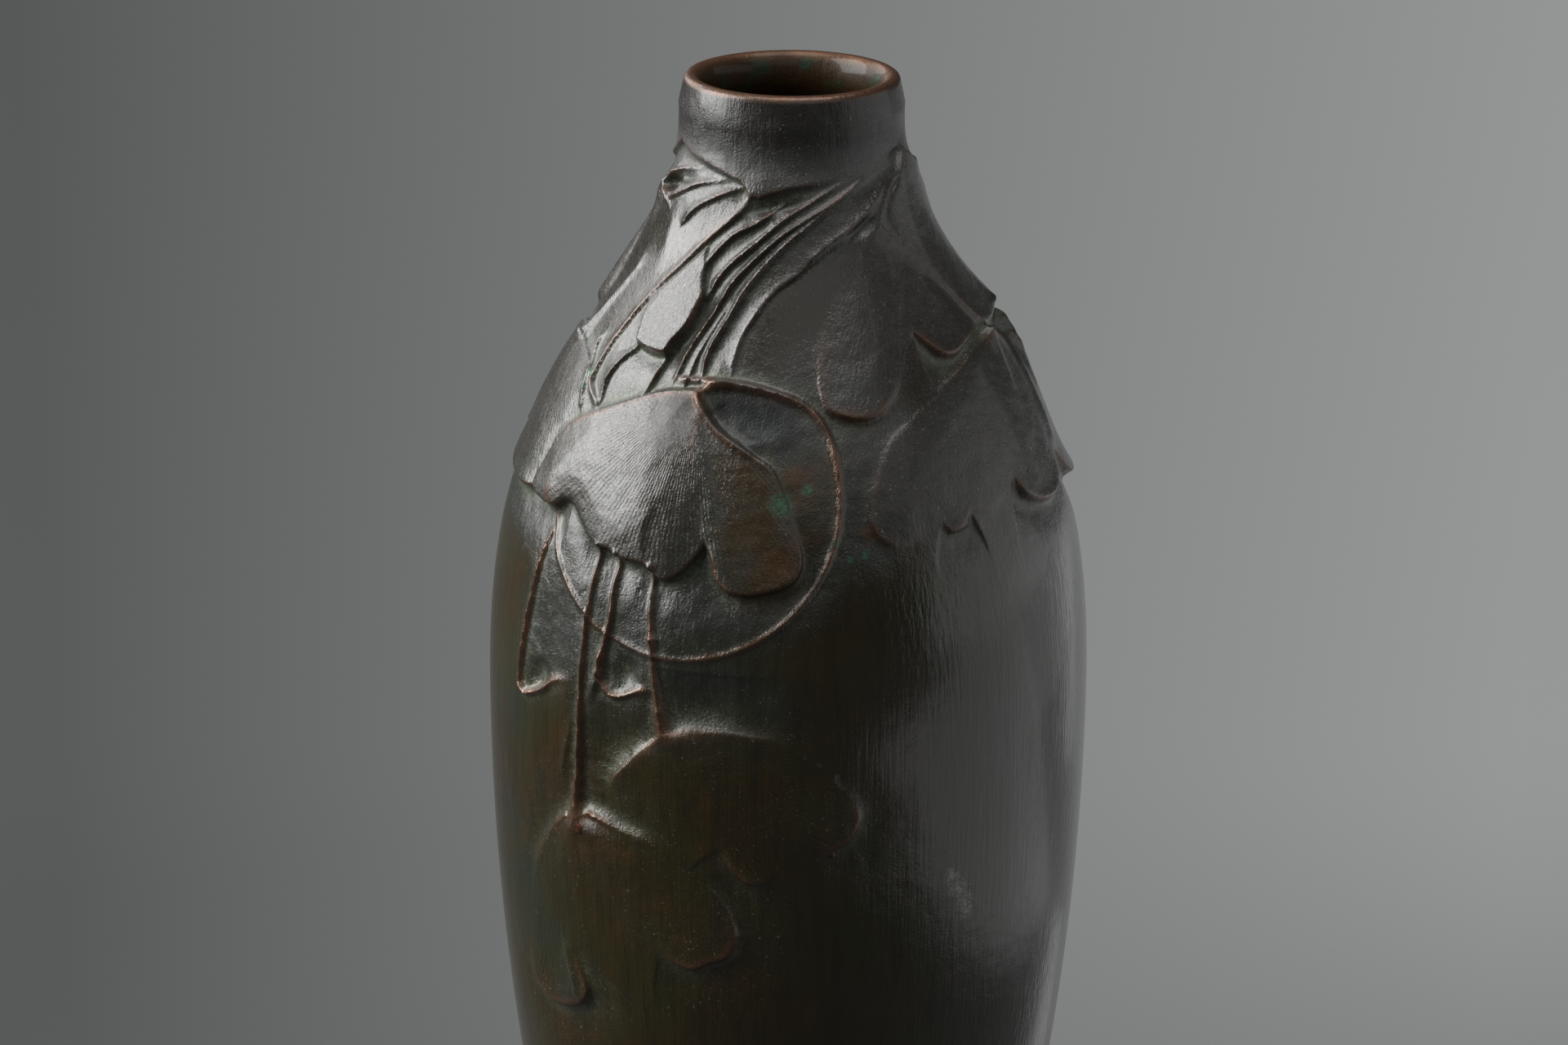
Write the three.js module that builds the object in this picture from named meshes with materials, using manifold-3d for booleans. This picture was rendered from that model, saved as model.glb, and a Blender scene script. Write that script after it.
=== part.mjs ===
// A cast bronze flower vase with a relief of fan-shaped leaves, hanging stems and a plain ring.
// The vase was cast hollow round a core, open at the mouth and at the foot. The pins that held the
// core left holes in the wall, which are plugged. A disc let into the foot from below closes it, and
// a bead of soft solder seals the disc. Millimetres, +Z up, the origin at the middle of the foot.
// The front, where the ring is, faces -Y. An azimuth runs from the front towards +X, in degrees.
import * as THREE from "three";
import { mergeVertices } from "three/addons/utils/BufferGeometryUtils.js";
import Module from "manifold-3d";

const wasm = await Module();
wasm.setup();

// The outline of the vase, from the foot up: the rise of each part of it, the radius at its end
// and how fast the radius grows there with the height.
const FOOT_RADIUS = 34.6;
const FOOT_FLARE = 0.29;
const BELLY_RISE = 145;
const BELLY_RADIUS = 55.1;
const SHOULDER_RISE = 59;
const SHOULDER_RADIUS = 43;
const SHOULDER_FLARE = -0.52;
const NECK_RISE = 34;
const NECK_RADIUS = 23.6;
const NECK_FLARE = -0.3;
const COLLAR_RISE = 22;
const COLLAR_RADIUS = 19.3;
const COLLAR_FLARE = -0.12;

// The casting.
const WALL = 3;
const LIP_ROUND = 1.3;
const LIP_LAND = 0.3;
const MOUTH_RADIUS = 15.6;
const MOUTH_DEPTH = 5;
const FOOT_ROUND = 1;

// The disc that closes the foot, the rebate and ledge it sits in, and the solder below its edge.
const PLATE_RADIUS = 29.2;
const PLATE_THICKNESS = 2.5;
const PLATE_RECESS = 2;
const LEDGE_WIDTH = 2.6;
const LEDGE_THICKNESS = 2.5;
const SOLDER_SETBACK = 0.4;
const FIT_GAP = 0.3;

// The plugs of the core pins, two rods' worth, and a smaller one that fills a casting flaw.
const PIN_RADIUS = 1.65;
const PLUG_PROUD = 0.1;
const LEAF_PLUG_PROUD = 1.1;
const UPPER_PIN_HEIGHT = 132.9;
const UPPER_PIN_AZIMUTH = -42.1;
const LOWER_PIN_HEIGHT = 45;
const LOWER_PIN_AZIMUTH = 48;
const REPAIR_RADIUS = 0.7;
const REPAIR_HEIGHT = 133.2;
const REPAIR_AZIMUTH = 8.1;

// The relief: how deep it is rooted in the wall, the collar's step, and the ring's size and place.
const ROOT = 1;
const COLLAR_PROUD = 0.6;
const COLLAR_STEP = 0.5;
const RING_HALF_WIDTH = 28.6;
const RING_HALF_HEIGHT = 24.5;
const RING_HEIGHT = 191.7;
const RING_AZIMUTH = -23.8;
const RING_CORD = 0.8;

// How finely round forms are cut into flats.
const VASE_SIDES = 60;
const BORE_SIDES = 24;
const PIN_SIDES = 10;
const CORD_SIDES = 4;
const RING_STEPS = 36;
const LIP_STEPS = 4;
const MOUTH_STEPS = 5;
const LEAF_STEPS = 3;
const STEP_LENGTH = 7;
const FULL_TURN = 360;

// Fan-shaped leaves. Each has the point where its stalk joins it, then points along its margin from
// one side of the fan to the other. A point is an azimuth, a height and how far the leaf stands
// proud there. A leaf that runs below the ground fades out.
const RING_LEAF = [
  [-23.7, 211.2, 0.9],
  [-31.8, 211.4, 0.9],
  [-43.5, 208.2, 1.2],
  [-54, 204.8, 1.3],
  [-60.3, 201.5, 1.4],
  [-63.2, 196, 1.6],
  [-63.6, 190.3, 2.3],
  [-60, 188.9, 2.5],
  [-52, 189.3, 2.5],
  [-48, 190.4, 1.6],
  [-45, 185.8, 1.5],
  [-38, 184.4, 1.6],
  [-34, 183.4, 1.4],
  [-29, 183.7, 1.5],
  [-24.5, 181.6, 1.7],
  [-18.5, 184.5, 1.4],
  [-15, 189.5, 1.2],
  [-16, 196, 1],
  [-19.5, 203.3, 0.8],
];
const RING_LEAF_SHADED_LOBE = [
  [-23.7, 211.2, 0.5],
  [-19.5, 197, 0.3],
  [-16, 186.5, 0.6],
  [-13.5, 181.2, 1],
  [-7, 180.3, 1.2],
  [-1.5, 181.6, 1.2],
  [2.2, 185.6, 1],
  [1.5, 190.5, 0.4],
  [-1, 196.5, -0.1],
  [-5, 201.5, 0.3],
  [-12.3, 204.6, 0.6],
  [-18.5, 206.8, 0.7],
];
const SHOULDER_LEAF = [
  [39.8, 238, 0.7],
  [47, 234.2, 0.9],
  [59.6, 229, 1.1],
  [68, 223.2, 1.3],
  [73.4, 217.8, 1.6],
  [63.3, 216.3, 2],
  [52, 215.1, 2.2],
  [45, 216.3, 1.9],
  [40.6, 219.8, 0.8],
  [34, 215, 0.2],
  [25.3, 209.8, 1.1],
  [18, 208.1, 1.5],
  [10, 209.2, 1.5],
  [7.8, 214, 1.2],
  [8.9, 221, 0.9],
  [14, 226, 0.4],
  [22, 231.3, 0.2],
];
const FLANK_LEAF = [
  [74.3, 215.4, 0.8],
  [82, 211, 0.9],
  [86.5, 203.5, 1.1],
  [85.5, 195.5, 1.3],
  [79, 190.4, 1.8],
  [69, 188.3, 1.9],
  [59, 189.2, 1.8],
  [55.3, 192.4, 0.8],
  [46, 190.1, 0.5],
  [39.3, 189.3, 1.4],
  [33.8, 188.6, 1.5],
  [29, 190, 0.5],
  [22.5, 187.4, 1.4],
  [17.3, 190.3, 1.3],
  [16.9, 195, 1.2],
  [20.5, 201, 1],
  [28, 206.3, 0.5],
  [42, 211, 0.1],
  [58, 214.2, 0.2],
];
const SIDE_LEAF = [
  [-80, 214, 0.9],
  [-74.6, 212.9, 0.9],
  [-65, 210.6, 1.2],
  [-58, 205, 0.8],
  [-56, 197, 0.6],
  [-60, 190.8, 1],
  [-68, 188.8, 1.6],
  [-78, 188.4, 1.8],
  [-88, 190, 1.6],
  [-94, 195.5, 0.7],
  [-101, 192.5, 1.5],
  [-108, 197, 1.4],
  [-109, 204.5, 1.3],
  [-101, 211.5, 1],
  [-90, 214.6, 0.9],
];
const HIGH_SIDE_LEAF = [
  [-97, 236.5, 0.7],
  [-89.5, 233, 1],
  [-83.5, 227, 1.3],
  [-85, 221.5, 1.7],
  [-93, 219.3, 1.9],
  [-101, 221.5, 0.7],
  [-109, 217.5, 1.7],
  [-118, 219, 1.6],
  [-119.5, 225.5, 1.2],
  [-112, 232, 0.9],
];
const LEANING_LEAF = [
  [-23.5, 154.6, 0.8],
  [-16, 155.7, 0.9],
  [-4.5, 155, 1.1],
  [3.8, 152.4, 1.2],
  [10.5, 147, 1.2],
  [13.2, 140.5, 1.3],
  [11.6, 136.8, 1.5],
  [6.5, 134.9, 1.5],
  [1, 132.8, 0.6],
  [-4, 128.8, 1.3],
  [-8.6, 128.8, 1.4],
  [-11, 132.6, 0.9],
  [-20, 137.3, 0.2],
  [-28, 140.6, 0.2],
  [-34.3, 143.6, 0.4],
  [-31, 147.3, 0.8],
  [-27.5, 150.6, 0.8],
];
const DROOPING_LEAF = [
  [-43, 134.6, 0.9],
  [-36.8, 135.6, 0.9],
  [-26, 133.2, 1],
  [-18, 129, 1],
  [-11.2, 122.3, 1.2],
  [-9.5, 117, 1.4],
  [-12, 112.9, 1.6],
  [-18.5, 110.3, 1.6],
  [-24.5, 112.6, 1],
  [-33, 111.5, 0.2],
  [-39.8, 105, 0.7],
  [-42.3, 100, 1.3],
  [-45.5, 96.2, 1.6],
  [-53, 94.9, 1.6],
  [-58.8, 96.6, 1.4],
  [-61, 103, 0.5],
  [-59.8, 111, 0.4],
  [-57.2, 117.4, 1],
  [-53.6, 125.4, 1],
  [-48.6, 131.9, 0.9],
];
const LEAF_TIP_AT_THE_STEM = [
  [-51, 223.4, 0.5],
  [-45.5, 228.9, 0.8],
  [-38.5, 232, 0.9],
  [-33.4, 229, 1.2],
  [-30.9, 225.6, 1.5],
  [-33.2, 220.6, 1.6],
  [-37.3, 216.9, 1.8],
  [-44, 216.7, 1.9],
  [-50.6, 217.6, 1.5],
];
const ROLLED_SHEET_LEFT = [
  [-52, 244.5, 0.3],
  [-58, 246.5, 0.8],
  [-66, 245, 1.2],
  [-73, 242.8, 1.6],
  [-77, 240, 1.9],
  [-71, 239.2, 1.4],
  [-62, 239.6, 0.8],
];

// Cords: the stems, strands and folded edges. A point is an azimuth, a height and the cord's radius.
const MAIN_STEM = [
  [-19, 243, 0.9],
  [-25, 238.7, 0.95],
  [-35, 235.1, 0.9],
  [-44.8, 230, 0.9],
  [-53.7, 224.3, 0.9],
  [-59, 217.8, 0.9],
  [-60.9, 210.8, 1],
  [-57.5, 208, 1],
  [-53.4, 207, 0.7],
];
const LONG_STRAND = [
  [-32.3, 213, 0.9],
  [-30.3, 217.8, 0.9],
  [-25.5, 223.8, 0.9],
  [-20.3, 229.1, 0.8],
  [-10.2, 234.2, 0.8],
  [2, 238.1, 0.8],
  [18.6, 241.9, 0.8],
  [35.7, 245.2, 0.6],
];
const WIDE_STRAND = [
  [-24.4, 213.5, 1.2],
  [-22.7, 220.6, 1.2],
  [-16.7, 226.1, 1.1],
  [-10.5, 231, 1.1],
  [0, 235.6, 1],
  [14.5, 240.5, 0.9],
  [32, 243.6, 0.8],
  [47, 246, 0.5],
];
const LOW_STRAND = [
  [-15.8, 213.9, 0.5],
  [-14.3, 221, 0.7],
  [-8.3, 226.9, 0.8],
  [0, 231, 0.8],
  [13.7, 235.6, 0.9],
  [26.8, 238.7, 0.9],
  [38.7, 241.6, 0.8],
  [49.2, 244.3, 0.5],
];
const HIGH_STRAND = [
  [-30.5, 226, 0.5],
  [-25, 230.5, 0.7],
  [-15, 234.7, 0.7],
  [-4.6, 238.6, 0.7],
  [10, 242.3, 0.6],
  [24, 244.9, 0.4],
];
const FOLD_AT_THE_HEM = [
  [42, 239.2, 0.6],
  [50, 243, 0.8],
  [60, 245.4, 0.9],
  [68, 248, 0.8],
  [76, 246.6, 0.5],
];
const HANGING_STEM_LEFT = [
  [-56.2, 184, 0.9],
  [-57.9, 173.6, 0.9],
  [-59.5, 163, 1],
  [-60, 155.6, 1.1],
  [-57.8, 153.9, 1],
  [-52.4, 156.1, 0.9],
  [-46.7, 159.4, 0.4],
];
const HANGING_STEM_MIDDLE = [
  [-40.5, 184.5, 0.8],
  [-41.2, 172, 0.8],
  [-41.5, 160, 0.85],
  [-42, 147, 1],
  [-42.8, 140, 1.3],
  [-43, 136, 1.6],
];
const HANGING_STEM_CUP = [
  [-35.7, 183.4, 0.8],
  [-35.8, 173.7, 0.8],
  [-37.2, 165.2, 1.1],
  [-35.6, 160.2, 1],
  [-31, 160.2, 0.8],
  [-25.8, 161.7, 0.5],
];
const HANGING_STEM_RIGHT = [
  [-27.6, 183, 0.8],
  [-26.4, 171, 1],
  [-25, 163, 0.9],
  [-23.6, 156, 1.2],
  [-23.3, 153.4, 1.5],
];
const FLANK_STALK = [
  [66, 226.2, 0.8],
  [71.5, 220.5, 1.2],
  [74.3, 216, 1.6],
];
const SIDE_STALK = [
  [-70, 228, 0.6],
  [-76, 220, 0.8],
  [-80, 213.6, 1.5],
];

// The step round the bottom of the collar, once round: an azimuth and a height.
const COLLAR_HEM = [
  [-74, 249.3],
  [-60, 248],
  [-44, 246.9],
  [-31.7, 245.9],
  [-24.5, 245.2],
  [-18, 242.8],
  [-6, 244],
  [10, 244.9],
  [31, 246.6],
  [50, 247.4],
  [67, 248.6],
  [85, 245.2],
  [110, 243.6],
  [150, 246.2],
  [190, 244.2],
  [235, 246.8],
  [265, 245],
];

const BRONZE = new THREE.MeshStandardMaterial({ color: "#3a3731", roughness: 0.5, metalness: 0.8 });
const PLUG_BRONZE = new THREE.MeshStandardMaterial({ color: "#5b4a38", roughness: 0.5, metalness: 0.8 });
const SOLDER = new THREE.MeshStandardMaterial({ color: "#8b8d8c", roughness: 0.5, metalness: 0.9 });

// The stations of the outline, from the foot to the top of the collar.
const STATIONS = [
  { rise: 0, radius: FOOT_RADIUS, flare: FOOT_FLARE, steps: 0 },
  { rise: BELLY_RISE, radius: BELLY_RADIUS, flare: 0, steps: 6 },
  { rise: SHOULDER_RISE, radius: SHOULDER_RADIUS, flare: SHOULDER_FLARE, steps: 5 },
  { rise: NECK_RISE, radius: NECK_RADIUS, flare: NECK_FLARE, steps: 4 },
  { rise: COLLAR_RISE, radius: COLLAR_RADIUS, flare: COLLAR_FLARE, steps: 2 },
];
let height = 0;
for (const station of STATIONS) {
  height += station.rise;
  station.z = height;
}
const HEIGHT = height;

// The radius of the outline at a height: a cubic between stations that keeps the flares.
function radiusAt(z) {
  let k = 1;
  while (k < STATIONS.length - 1 && z > STATIONS[k].z) k += 1;
  const a = STATIONS[k - 1];
  const b = STATIONS[k];
  const t = (z - a.z) / b.rise;
  const t2 = t * t;
  const t3 = t2 * t;
  return (2 * t3 - 3 * t2 + 1) * a.radius
    + (t3 - 2 * t2 + t) * b.rise * a.flare
    + (3 * t2 - 2 * t3) * b.radius
    + (t3 - t2) * b.rise * b.flare;
}

function flareAt(z) {
  const d = 0.01;
  return (radiusAt(z + d) - radiusAt(z - d)) / (2 * d);
}

// A point of the outline's plane, moved out square to the outline by lift.
function liftedProfile(z, lift) {
  const flare = flareAt(z);
  const length = Math.hypot(1, flare);
  return new THREE.Vector2(radiusAt(z) + lift / length, z - (lift * flare) / length);
}

function onVase(azimuth, z, lift) {
  const p = liftedProfile(z, lift);
  const angle = THREE.MathUtils.degToRad(azimuth);
  return new THREE.Vector3(p.x * Math.sin(angle), -p.x * Math.cos(angle), p.y);
}

function outwardsAt(azimuth, z) {
  return onVase(azimuth, z, 1).sub(onVase(azimuth, z, 0));
}

// A closed mesh as a solid for joining and cutting. A mesh built inside out is turned.
function solid(source) {
  const geometry = source.clone();
  geometry.deleteAttribute("normal");
  geometry.deleteAttribute("uv");
  const merged = mergeVertices(geometry, 1e-5);
  const vertProperties = new Float32Array(merged.attributes.position.array);
  const triVerts = new Uint32Array(merged.index.array);
  const a = new THREE.Vector3();
  const b = new THREE.Vector3();
  const c = new THREE.Vector3();
  let volume = 0;
  for (let i = 0; i < triVerts.length; i += 3) {
    a.fromArray(vertProperties, 3 * triVerts[i]);
    b.fromArray(vertProperties, 3 * triVerts[i + 1]);
    c.fromArray(vertProperties, 3 * triVerts[i + 2]);
    volume += a.dot(b.cross(c));
  }
  if (volume < 0) {
    for (let i = 0; i < triVerts.length; i += 3) {
      const first = triVerts[i];
      triVerts[i] = triVerts[i + 1];
      triVerts[i + 1] = first;
    }
  }
  return new wasm.Manifold(new wasm.Mesh({ numProp: 3, vertProperties, triVerts }));
}

function geometryOf(manifold) {
  const mesh = manifold.getMesh();
  const geometry = new THREE.BufferGeometry();
  geometry.setAttribute("position", new THREE.BufferAttribute(mesh.vertProperties, 3));
  geometry.setIndex(new THREE.BufferAttribute(mesh.triVerts, 1));
  return geometry.toNonIndexed();
}

function fromPoints(points, triangles) {
  const geometry = new THREE.BufferGeometry().setFromPoints(points);
  geometry.setIndex(triangles);
  return geometry;
}

function turned(profile, sides) {
  return new THREE.LatheGeometry(profile, sides).rotateX(Math.PI / 2);
}

function arc(centre, halfWidth, halfHeight, from, to, steps) {
  const points = [];
  for (let i = 0; i <= steps; i += 1) {
    const angle = THREE.MathUtils.degToRad(from + ((to - from) * i) / steps);
    const x = centre.x + halfWidth * Math.cos(angle);
    const y = centre.y + halfHeight * Math.sin(angle);
    points.push(new THREE.Vector2(x, y));
  }
  return points;
}

// Evenly spaced points on a smooth line through the given ones.
function smoothLine(points) {
  const line = new THREE.CatmullRomCurve3(points.map((p) => new THREE.Vector3(...p)));
  const steps = Math.max(2, Math.ceil(line.getLength() / STEP_LENGTH));
  return line.getSpacedPoints(steps).map((p) => p.toArray());
}

// A leaf is a fan: its top rises from the stalk's end to the margin, and its edge goes down into
// the wall. Its underside is a plain cone inside the casting.
function leaf([stalk, ...marginPoints]) {
  const margin = smoothLine(marginPoints);
  const points = [onVase(stalk[0], stalk[1], stalk[2]), onVase(stalk[0], stalk[1], -ROOT)];
  const triangles = [];
  const top = (i, j) => (j === 0 ? 0 : 2 + i * (LEAF_STEPS + 1) + j - 1);
  const root = (i) => 2 + i * (LEAF_STEPS + 1) + LEAF_STEPS;
  for (const [azimuth, z, lift] of margin) {
    for (let j = 1; j <= LEAF_STEPS; j += 1) {
      const t = j / LEAF_STEPS;
      const between = (from, to) => from + (to - from) * t;
      const rise = stalk[2] + (lift - stalk[2]) * t * t;
      points.push(onVase(between(stalk[0], azimuth), between(stalk[1], z), rise));
    }
    points.push(onVase(azimuth, z, -ROOT));
  }
  const last = margin.length - 1;
  for (let i = 0; i < last; i += 1) {
    triangles.push(0, top(i, 1), top(i + 1, 1));
    for (let j = 1; j < LEAF_STEPS; j += 1) {
      triangles.push(top(i, j), top(i, j + 1), top(i + 1, j + 1));
      triangles.push(top(i, j), top(i + 1, j + 1), top(i + 1, j));
    }
    triangles.push(top(i, LEAF_STEPS), root(i), root(i + 1));
    triangles.push(top(i, LEAF_STEPS), root(i + 1), top(i + 1, LEAF_STEPS));
    triangles.push(1, root(i + 1), root(i));
  }
  for (let j = 0; j < LEAF_STEPS; j += 1) {
    triangles.push(1, top(0, j + 1), top(0, j));
    triangles.push(1, top(last, j), top(last, j + 1));
  }
  triangles.push(1, root(0), top(0, LEAF_STEPS));
  triangles.push(1, top(last, LEAF_STEPS), root(last));
  return fromPoints(points, triangles);
}

// A cord lies half sunk in the wall along its line, with an edge on top. A closed one has no ends.
function cord(line, closed) {
  const count = line.length;
  const centres = line.map(([azimuth, z]) => onVase(azimuth, z, 0));
  const points = [];
  const triangles = [];
  for (let i = 0; i < count; i += 1) {
    const before = closed ? (i + count - 1) % count : Math.max(i - 1, 0);
    const after = closed ? (i + 1) % count : Math.min(i + 1, count - 1);
    const along = centres[after].clone().sub(centres[before]).normalize();
    const outwards = outwardsAt(line[i][0], line[i][1]);
    const across = new THREE.Vector3().crossVectors(along, outwards).normalize();
    for (let k = 0; k < CORD_SIDES; k += 1) {
      const angle = (2 * Math.PI * k) / CORD_SIDES;
      const point = centres[i].clone();
      point.addScaledVector(across, line[i][2] * Math.cos(angle));
      point.addScaledVector(outwards, line[i][2] * Math.sin(angle));
      points.push(point);
    }
  }
  const spans = closed ? count : count - 1;
  for (let i = 0; i < spans; i += 1) {
    const here = i * CORD_SIDES;
    const next = ((i + 1) % count) * CORD_SIDES;
    for (let k = 0; k < CORD_SIDES; k += 1) {
      const m = (k + 1) % CORD_SIDES;
      triangles.push(here + k, next + k, next + m);
      triangles.push(here + k, next + m, here + m);
    }
  }
  if (!closed) {
    const end = (count - 1) * CORD_SIDES;
    for (let k = 1; k < CORD_SIDES - 1; k += 1) {
      triangles.push(0, k, k + 1);
      triangles.push(end, end + k + 1, end + k);
    }
  }
  return fromPoints(points, triangles);
}

// The ring is an ellipse drawn on the vase's own surface, as a paper one would lie on it.
function ringLine() {
  const slant = Math.hypot(1, flareAt(RING_HEIGHT));
  const line = [];
  for (let i = 0; i < RING_STEPS; i += 1) {
    const angle = (2 * Math.PI * i) / RING_STEPS;
    const z = RING_HEIGHT + (RING_HALF_HEIGHT * Math.sin(angle)) / slant;
    const sideways = (RING_HALF_WIDTH * Math.cos(angle)) / radiusAt(z);
    line.push([RING_AZIMUTH + THREE.MathUtils.radToDeg(sideways), z, RING_CORD]);
  }
  return line;
}

// The lower edge of the collar, as a height for each of the vase's sides.
function hemLine() {
  const hem = COLLAR_HEM.map(([azimuth, z]) => new THREE.Vector3(azimuth, z, 0));
  const firstAgain = hem[0].clone();
  firstAgain.x += FULL_TURN;
  const line = new THREE.CatmullRomCurve3([...hem, firstAgain]);
  return line.getSpacedPoints(VASE_SIDES).slice(0, VASE_SIDES);
}

// The outer form, closed over the mouth. It is made of rings, and each ring says for an azimuth
// of the hem line where its point of the profile lies.
function outerForm() {
  const hem = hemLine();
  const lowestHem = Math.min(...hem.map((p) => p.y));
  const lipCentre = new THREE.Vector2(COLLAR_RADIUS - LIP_ROUND, HEIGHT - LIP_ROUND);
  const rings = [() => new THREE.Vector2(FOOT_RADIUS - FOOT_ROUND, 0)];
  rings.push(() => new THREE.Vector2(radiusAt(FOOT_ROUND), FOOT_ROUND));
  for (let k = 1; k < STATIONS.length; k += 1) {
    const { z, rise, steps } = STATIONS[k];
    for (let i = 1; i <= steps; i += 1) {
      const level = z - rise + (rise * i) / steps;
      if (level < lowestHem - COLLAR_STEP) rings.push(() => liftedProfile(level, 0));
    }
  }
  rings.push((p) => liftedProfile(p.y - COLLAR_STEP, 0));
  rings.push((p) => liftedProfile(p.y, COLLAR_PROUD));
  for (const corner of arc(lipCentre, LIP_ROUND, LIP_ROUND, 0, 90, LIP_STEPS)) rings.push(() => corner);
  const points = [new THREE.Vector3(0, 0, 0), new THREE.Vector3(0, 0, HEIGHT)];
  const triangles = [];
  for (const ring of rings) {
    for (const p of hem) {
      const corner = ring(p);
      const angle = THREE.MathUtils.degToRad(p.x);
      points.push(new THREE.Vector3(corner.x * Math.sin(angle), -corner.x * Math.cos(angle), corner.y));
    }
  }
  for (let i = 0; i < VASE_SIDES; i += 1) {
    const m = (i + 1) % VASE_SIDES;
    for (let k = 0; k < rings.length - 1; k += 1) {
      const low = 2 + k * VASE_SIDES;
      const high = low + VASE_SIDES;
      triangles.push(low + i, low + m, high + m);
      triangles.push(low + i, high + m, high + i);
    }
    const last = 2 + (rings.length - 1) * VASE_SIDES;
    triangles.push(0, 2 + m, 2 + i);
    triangles.push(1, last + i, last + m);
  }
  return fromPoints(points, triangles);
}

function movedBy(points, azimuth, z) {
  return points.map(([a, h, size]) => [a + azimuth, h + z, size]);
}

// The same points seen in a mirror, with the front of the vase going to the given azimuth.
function mirroredTo(points, azimuth) {
  return points.map(([a, h, size]) => [azimuth - a, h, size]);
}

// The bore: the outline moved in by the wall, then the rolled mouth.
const ledgeBottom = PLATE_RECESS + PLATE_THICKNESS + FIT_GAP;
const ledgeTop = ledgeBottom + LEDGE_THICKNESS;
const throat = HEIGHT - MOUTH_DEPTH;
const mouthCentre = new THREE.Vector2(COLLAR_RADIUS - LIP_ROUND - LIP_LAND, throat);
const boreProfile = [new THREE.Vector2(0, ledgeTop)];
const boreLevels = [ledgeTop];
for (let k = 1; k < STATIONS.length; k += 1) {
  const { z, rise, steps } = STATIONS[k];
  const from = Math.max(z - rise, ledgeTop);
  const to = Math.min(z, throat - 2 * WALL);
  const count = Math.max(1, steps - 1);
  for (let i = 1; i <= count; i += 1) boreLevels.push(from + ((to - from) * i) / count);
}
for (const level of boreLevels) boreProfile.push(liftedProfile(level, -WALL));
boreProfile[1].y = ledgeTop;
boreProfile.push(...arc(mouthCentre, MOUTH_RADIUS - mouthCentre.x, MOUTH_DEPTH, 0, 90, MOUTH_STEPS));
boreProfile.push(new THREE.Vector2(mouthCentre.x, HEIGHT + WALL));
boreProfile.push(new THREE.Vector2(0, HEIGHT + WALL));

// The seat of the disc: the rebate from below, and the hole inside the ledge.
const rebateRadius = PLATE_RADIUS + FIT_GAP;
const seatProfile = [
  new THREE.Vector2(0, -WALL),
  new THREE.Vector2(rebateRadius, -WALL),
  new THREE.Vector2(rebateRadius, ledgeBottom),
  new THREE.Vector2(rebateRadius - LEDGE_WIDTH, ledgeBottom),
  new THREE.Vector2(rebateRadius - LEDGE_WIDTH, ledgeTop + WALL),
  new THREE.Vector2(0, ledgeTop + WALL),
];

const leaves = [
  RING_LEAF,
  RING_LEAF_SHADED_LOBE,
  SHOULDER_LEAF,
  FLANK_LEAF,
  SIDE_LEAF,
  HIGH_SIDE_LEAF,
  LEANING_LEAF,
  DROOPING_LEAF,
  LEAF_TIP_AT_THE_STEM,
  ROLLED_SHEET_LEFT,
];
const cords = [
  MAIN_STEM,
  HIGH_STRAND,
  LONG_STRAND,
  WIDE_STRAND,
  LOW_STRAND,
  FOLD_AT_THE_HEM,
  HANGING_STEM_LEFT,
  HANGING_STEM_MIDDLE,
  HANGING_STEM_CUP,
  HANGING_STEM_RIGHT,
  FLANK_STALK,
  SIDE_STALK,
];

// The same plant goes on round the back.
leaves.push(movedBy(RING_LEAF, 152, -1));
leaves.push(mirroredTo(SHOULDER_LEAF, 202));
leaves.push(mirroredTo(FLANK_LEAF, -101));
leaves.push(movedBy(LEANING_LEAF, 134, 0));
leaves.push(movedBy(DROOPING_LEAF, -117, -3));
cords.push(movedBy(LONG_STRAND, 128, 0));
cords.push(mirroredTo(WIDE_STRAND, 205));
cords.push(mirroredTo(FLANK_STALK, -101));
cords.push(movedBy(HANGING_STEM_RIGHT, 134, 0));
cords.push(movedBy(HANGING_STEM_MIDDLE, -117, -3));

let body = solid(outerForm());
for (const points of leaves) body = body.add(solid(leaf(points)));
for (const points of cords) body = body.add(solid(cord(smoothLine(points), false)));
body = body.add(solid(cord(ringLine(), true)));
body = body.subtract(solid(turned(boreProfile, BORE_SIDES)));
body = body.subtract(solid(turned(seatProfile, VASE_SIDES)));

// A plug goes square through the wall, from just proud of the face around it to the bore.
function plugCylinder(radius, azimuth, z, from, to) {
  const geometry = new THREE.CylinderGeometry(radius, radius, to - from, PIN_SIDES);
  const outwards = outwardsAt(azimuth, z);
  const upright = new THREE.Vector3(0, 1, 0);
  geometry.applyQuaternion(new THREE.Quaternion().setFromUnitVectors(upright, outwards));
  const middle = onVase(azimuth, z, (from + to) / 2);
  return geometry.translate(middle.x, middle.y, middle.z);
}

const plugs = [
  ["pin_plug_front", PIN_RADIUS, UPPER_PIN_AZIMUTH, UPPER_PIN_HEIGHT, LEAF_PLUG_PROUD],
  ["pin_plug_back", PIN_RADIUS, UPPER_PIN_AZIMUTH + 180, UPPER_PIN_HEIGHT, PLUG_PROUD],
  ["pin_plug_low_right", PIN_RADIUS, LOWER_PIN_AZIMUTH, LOWER_PIN_HEIGHT, PLUG_PROUD],
  ["pin_plug_low_left", PIN_RADIUS, LOWER_PIN_AZIMUTH + 180, LOWER_PIN_HEIGHT, PLUG_PROUD],
  ["repair_plug", REPAIR_RADIUS, REPAIR_AZIMUTH, REPAIR_HEIGHT, PLUG_PROUD],
];
const vase = new THREE.Group();
for (const [name, radius, azimuth, z, proud] of plugs) {
  const hole = plugCylinder(radius + FIT_GAP, azimuth, z, -2 * WALL, 2 * WALL);
  body = body.subtract(solid(hole));
  const plug = new THREE.Mesh(plugCylinder(radius, azimuth, z, -WALL, proud), PLUG_BRONZE);
  plug.name = name;
  vase.add(plug);
}
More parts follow.
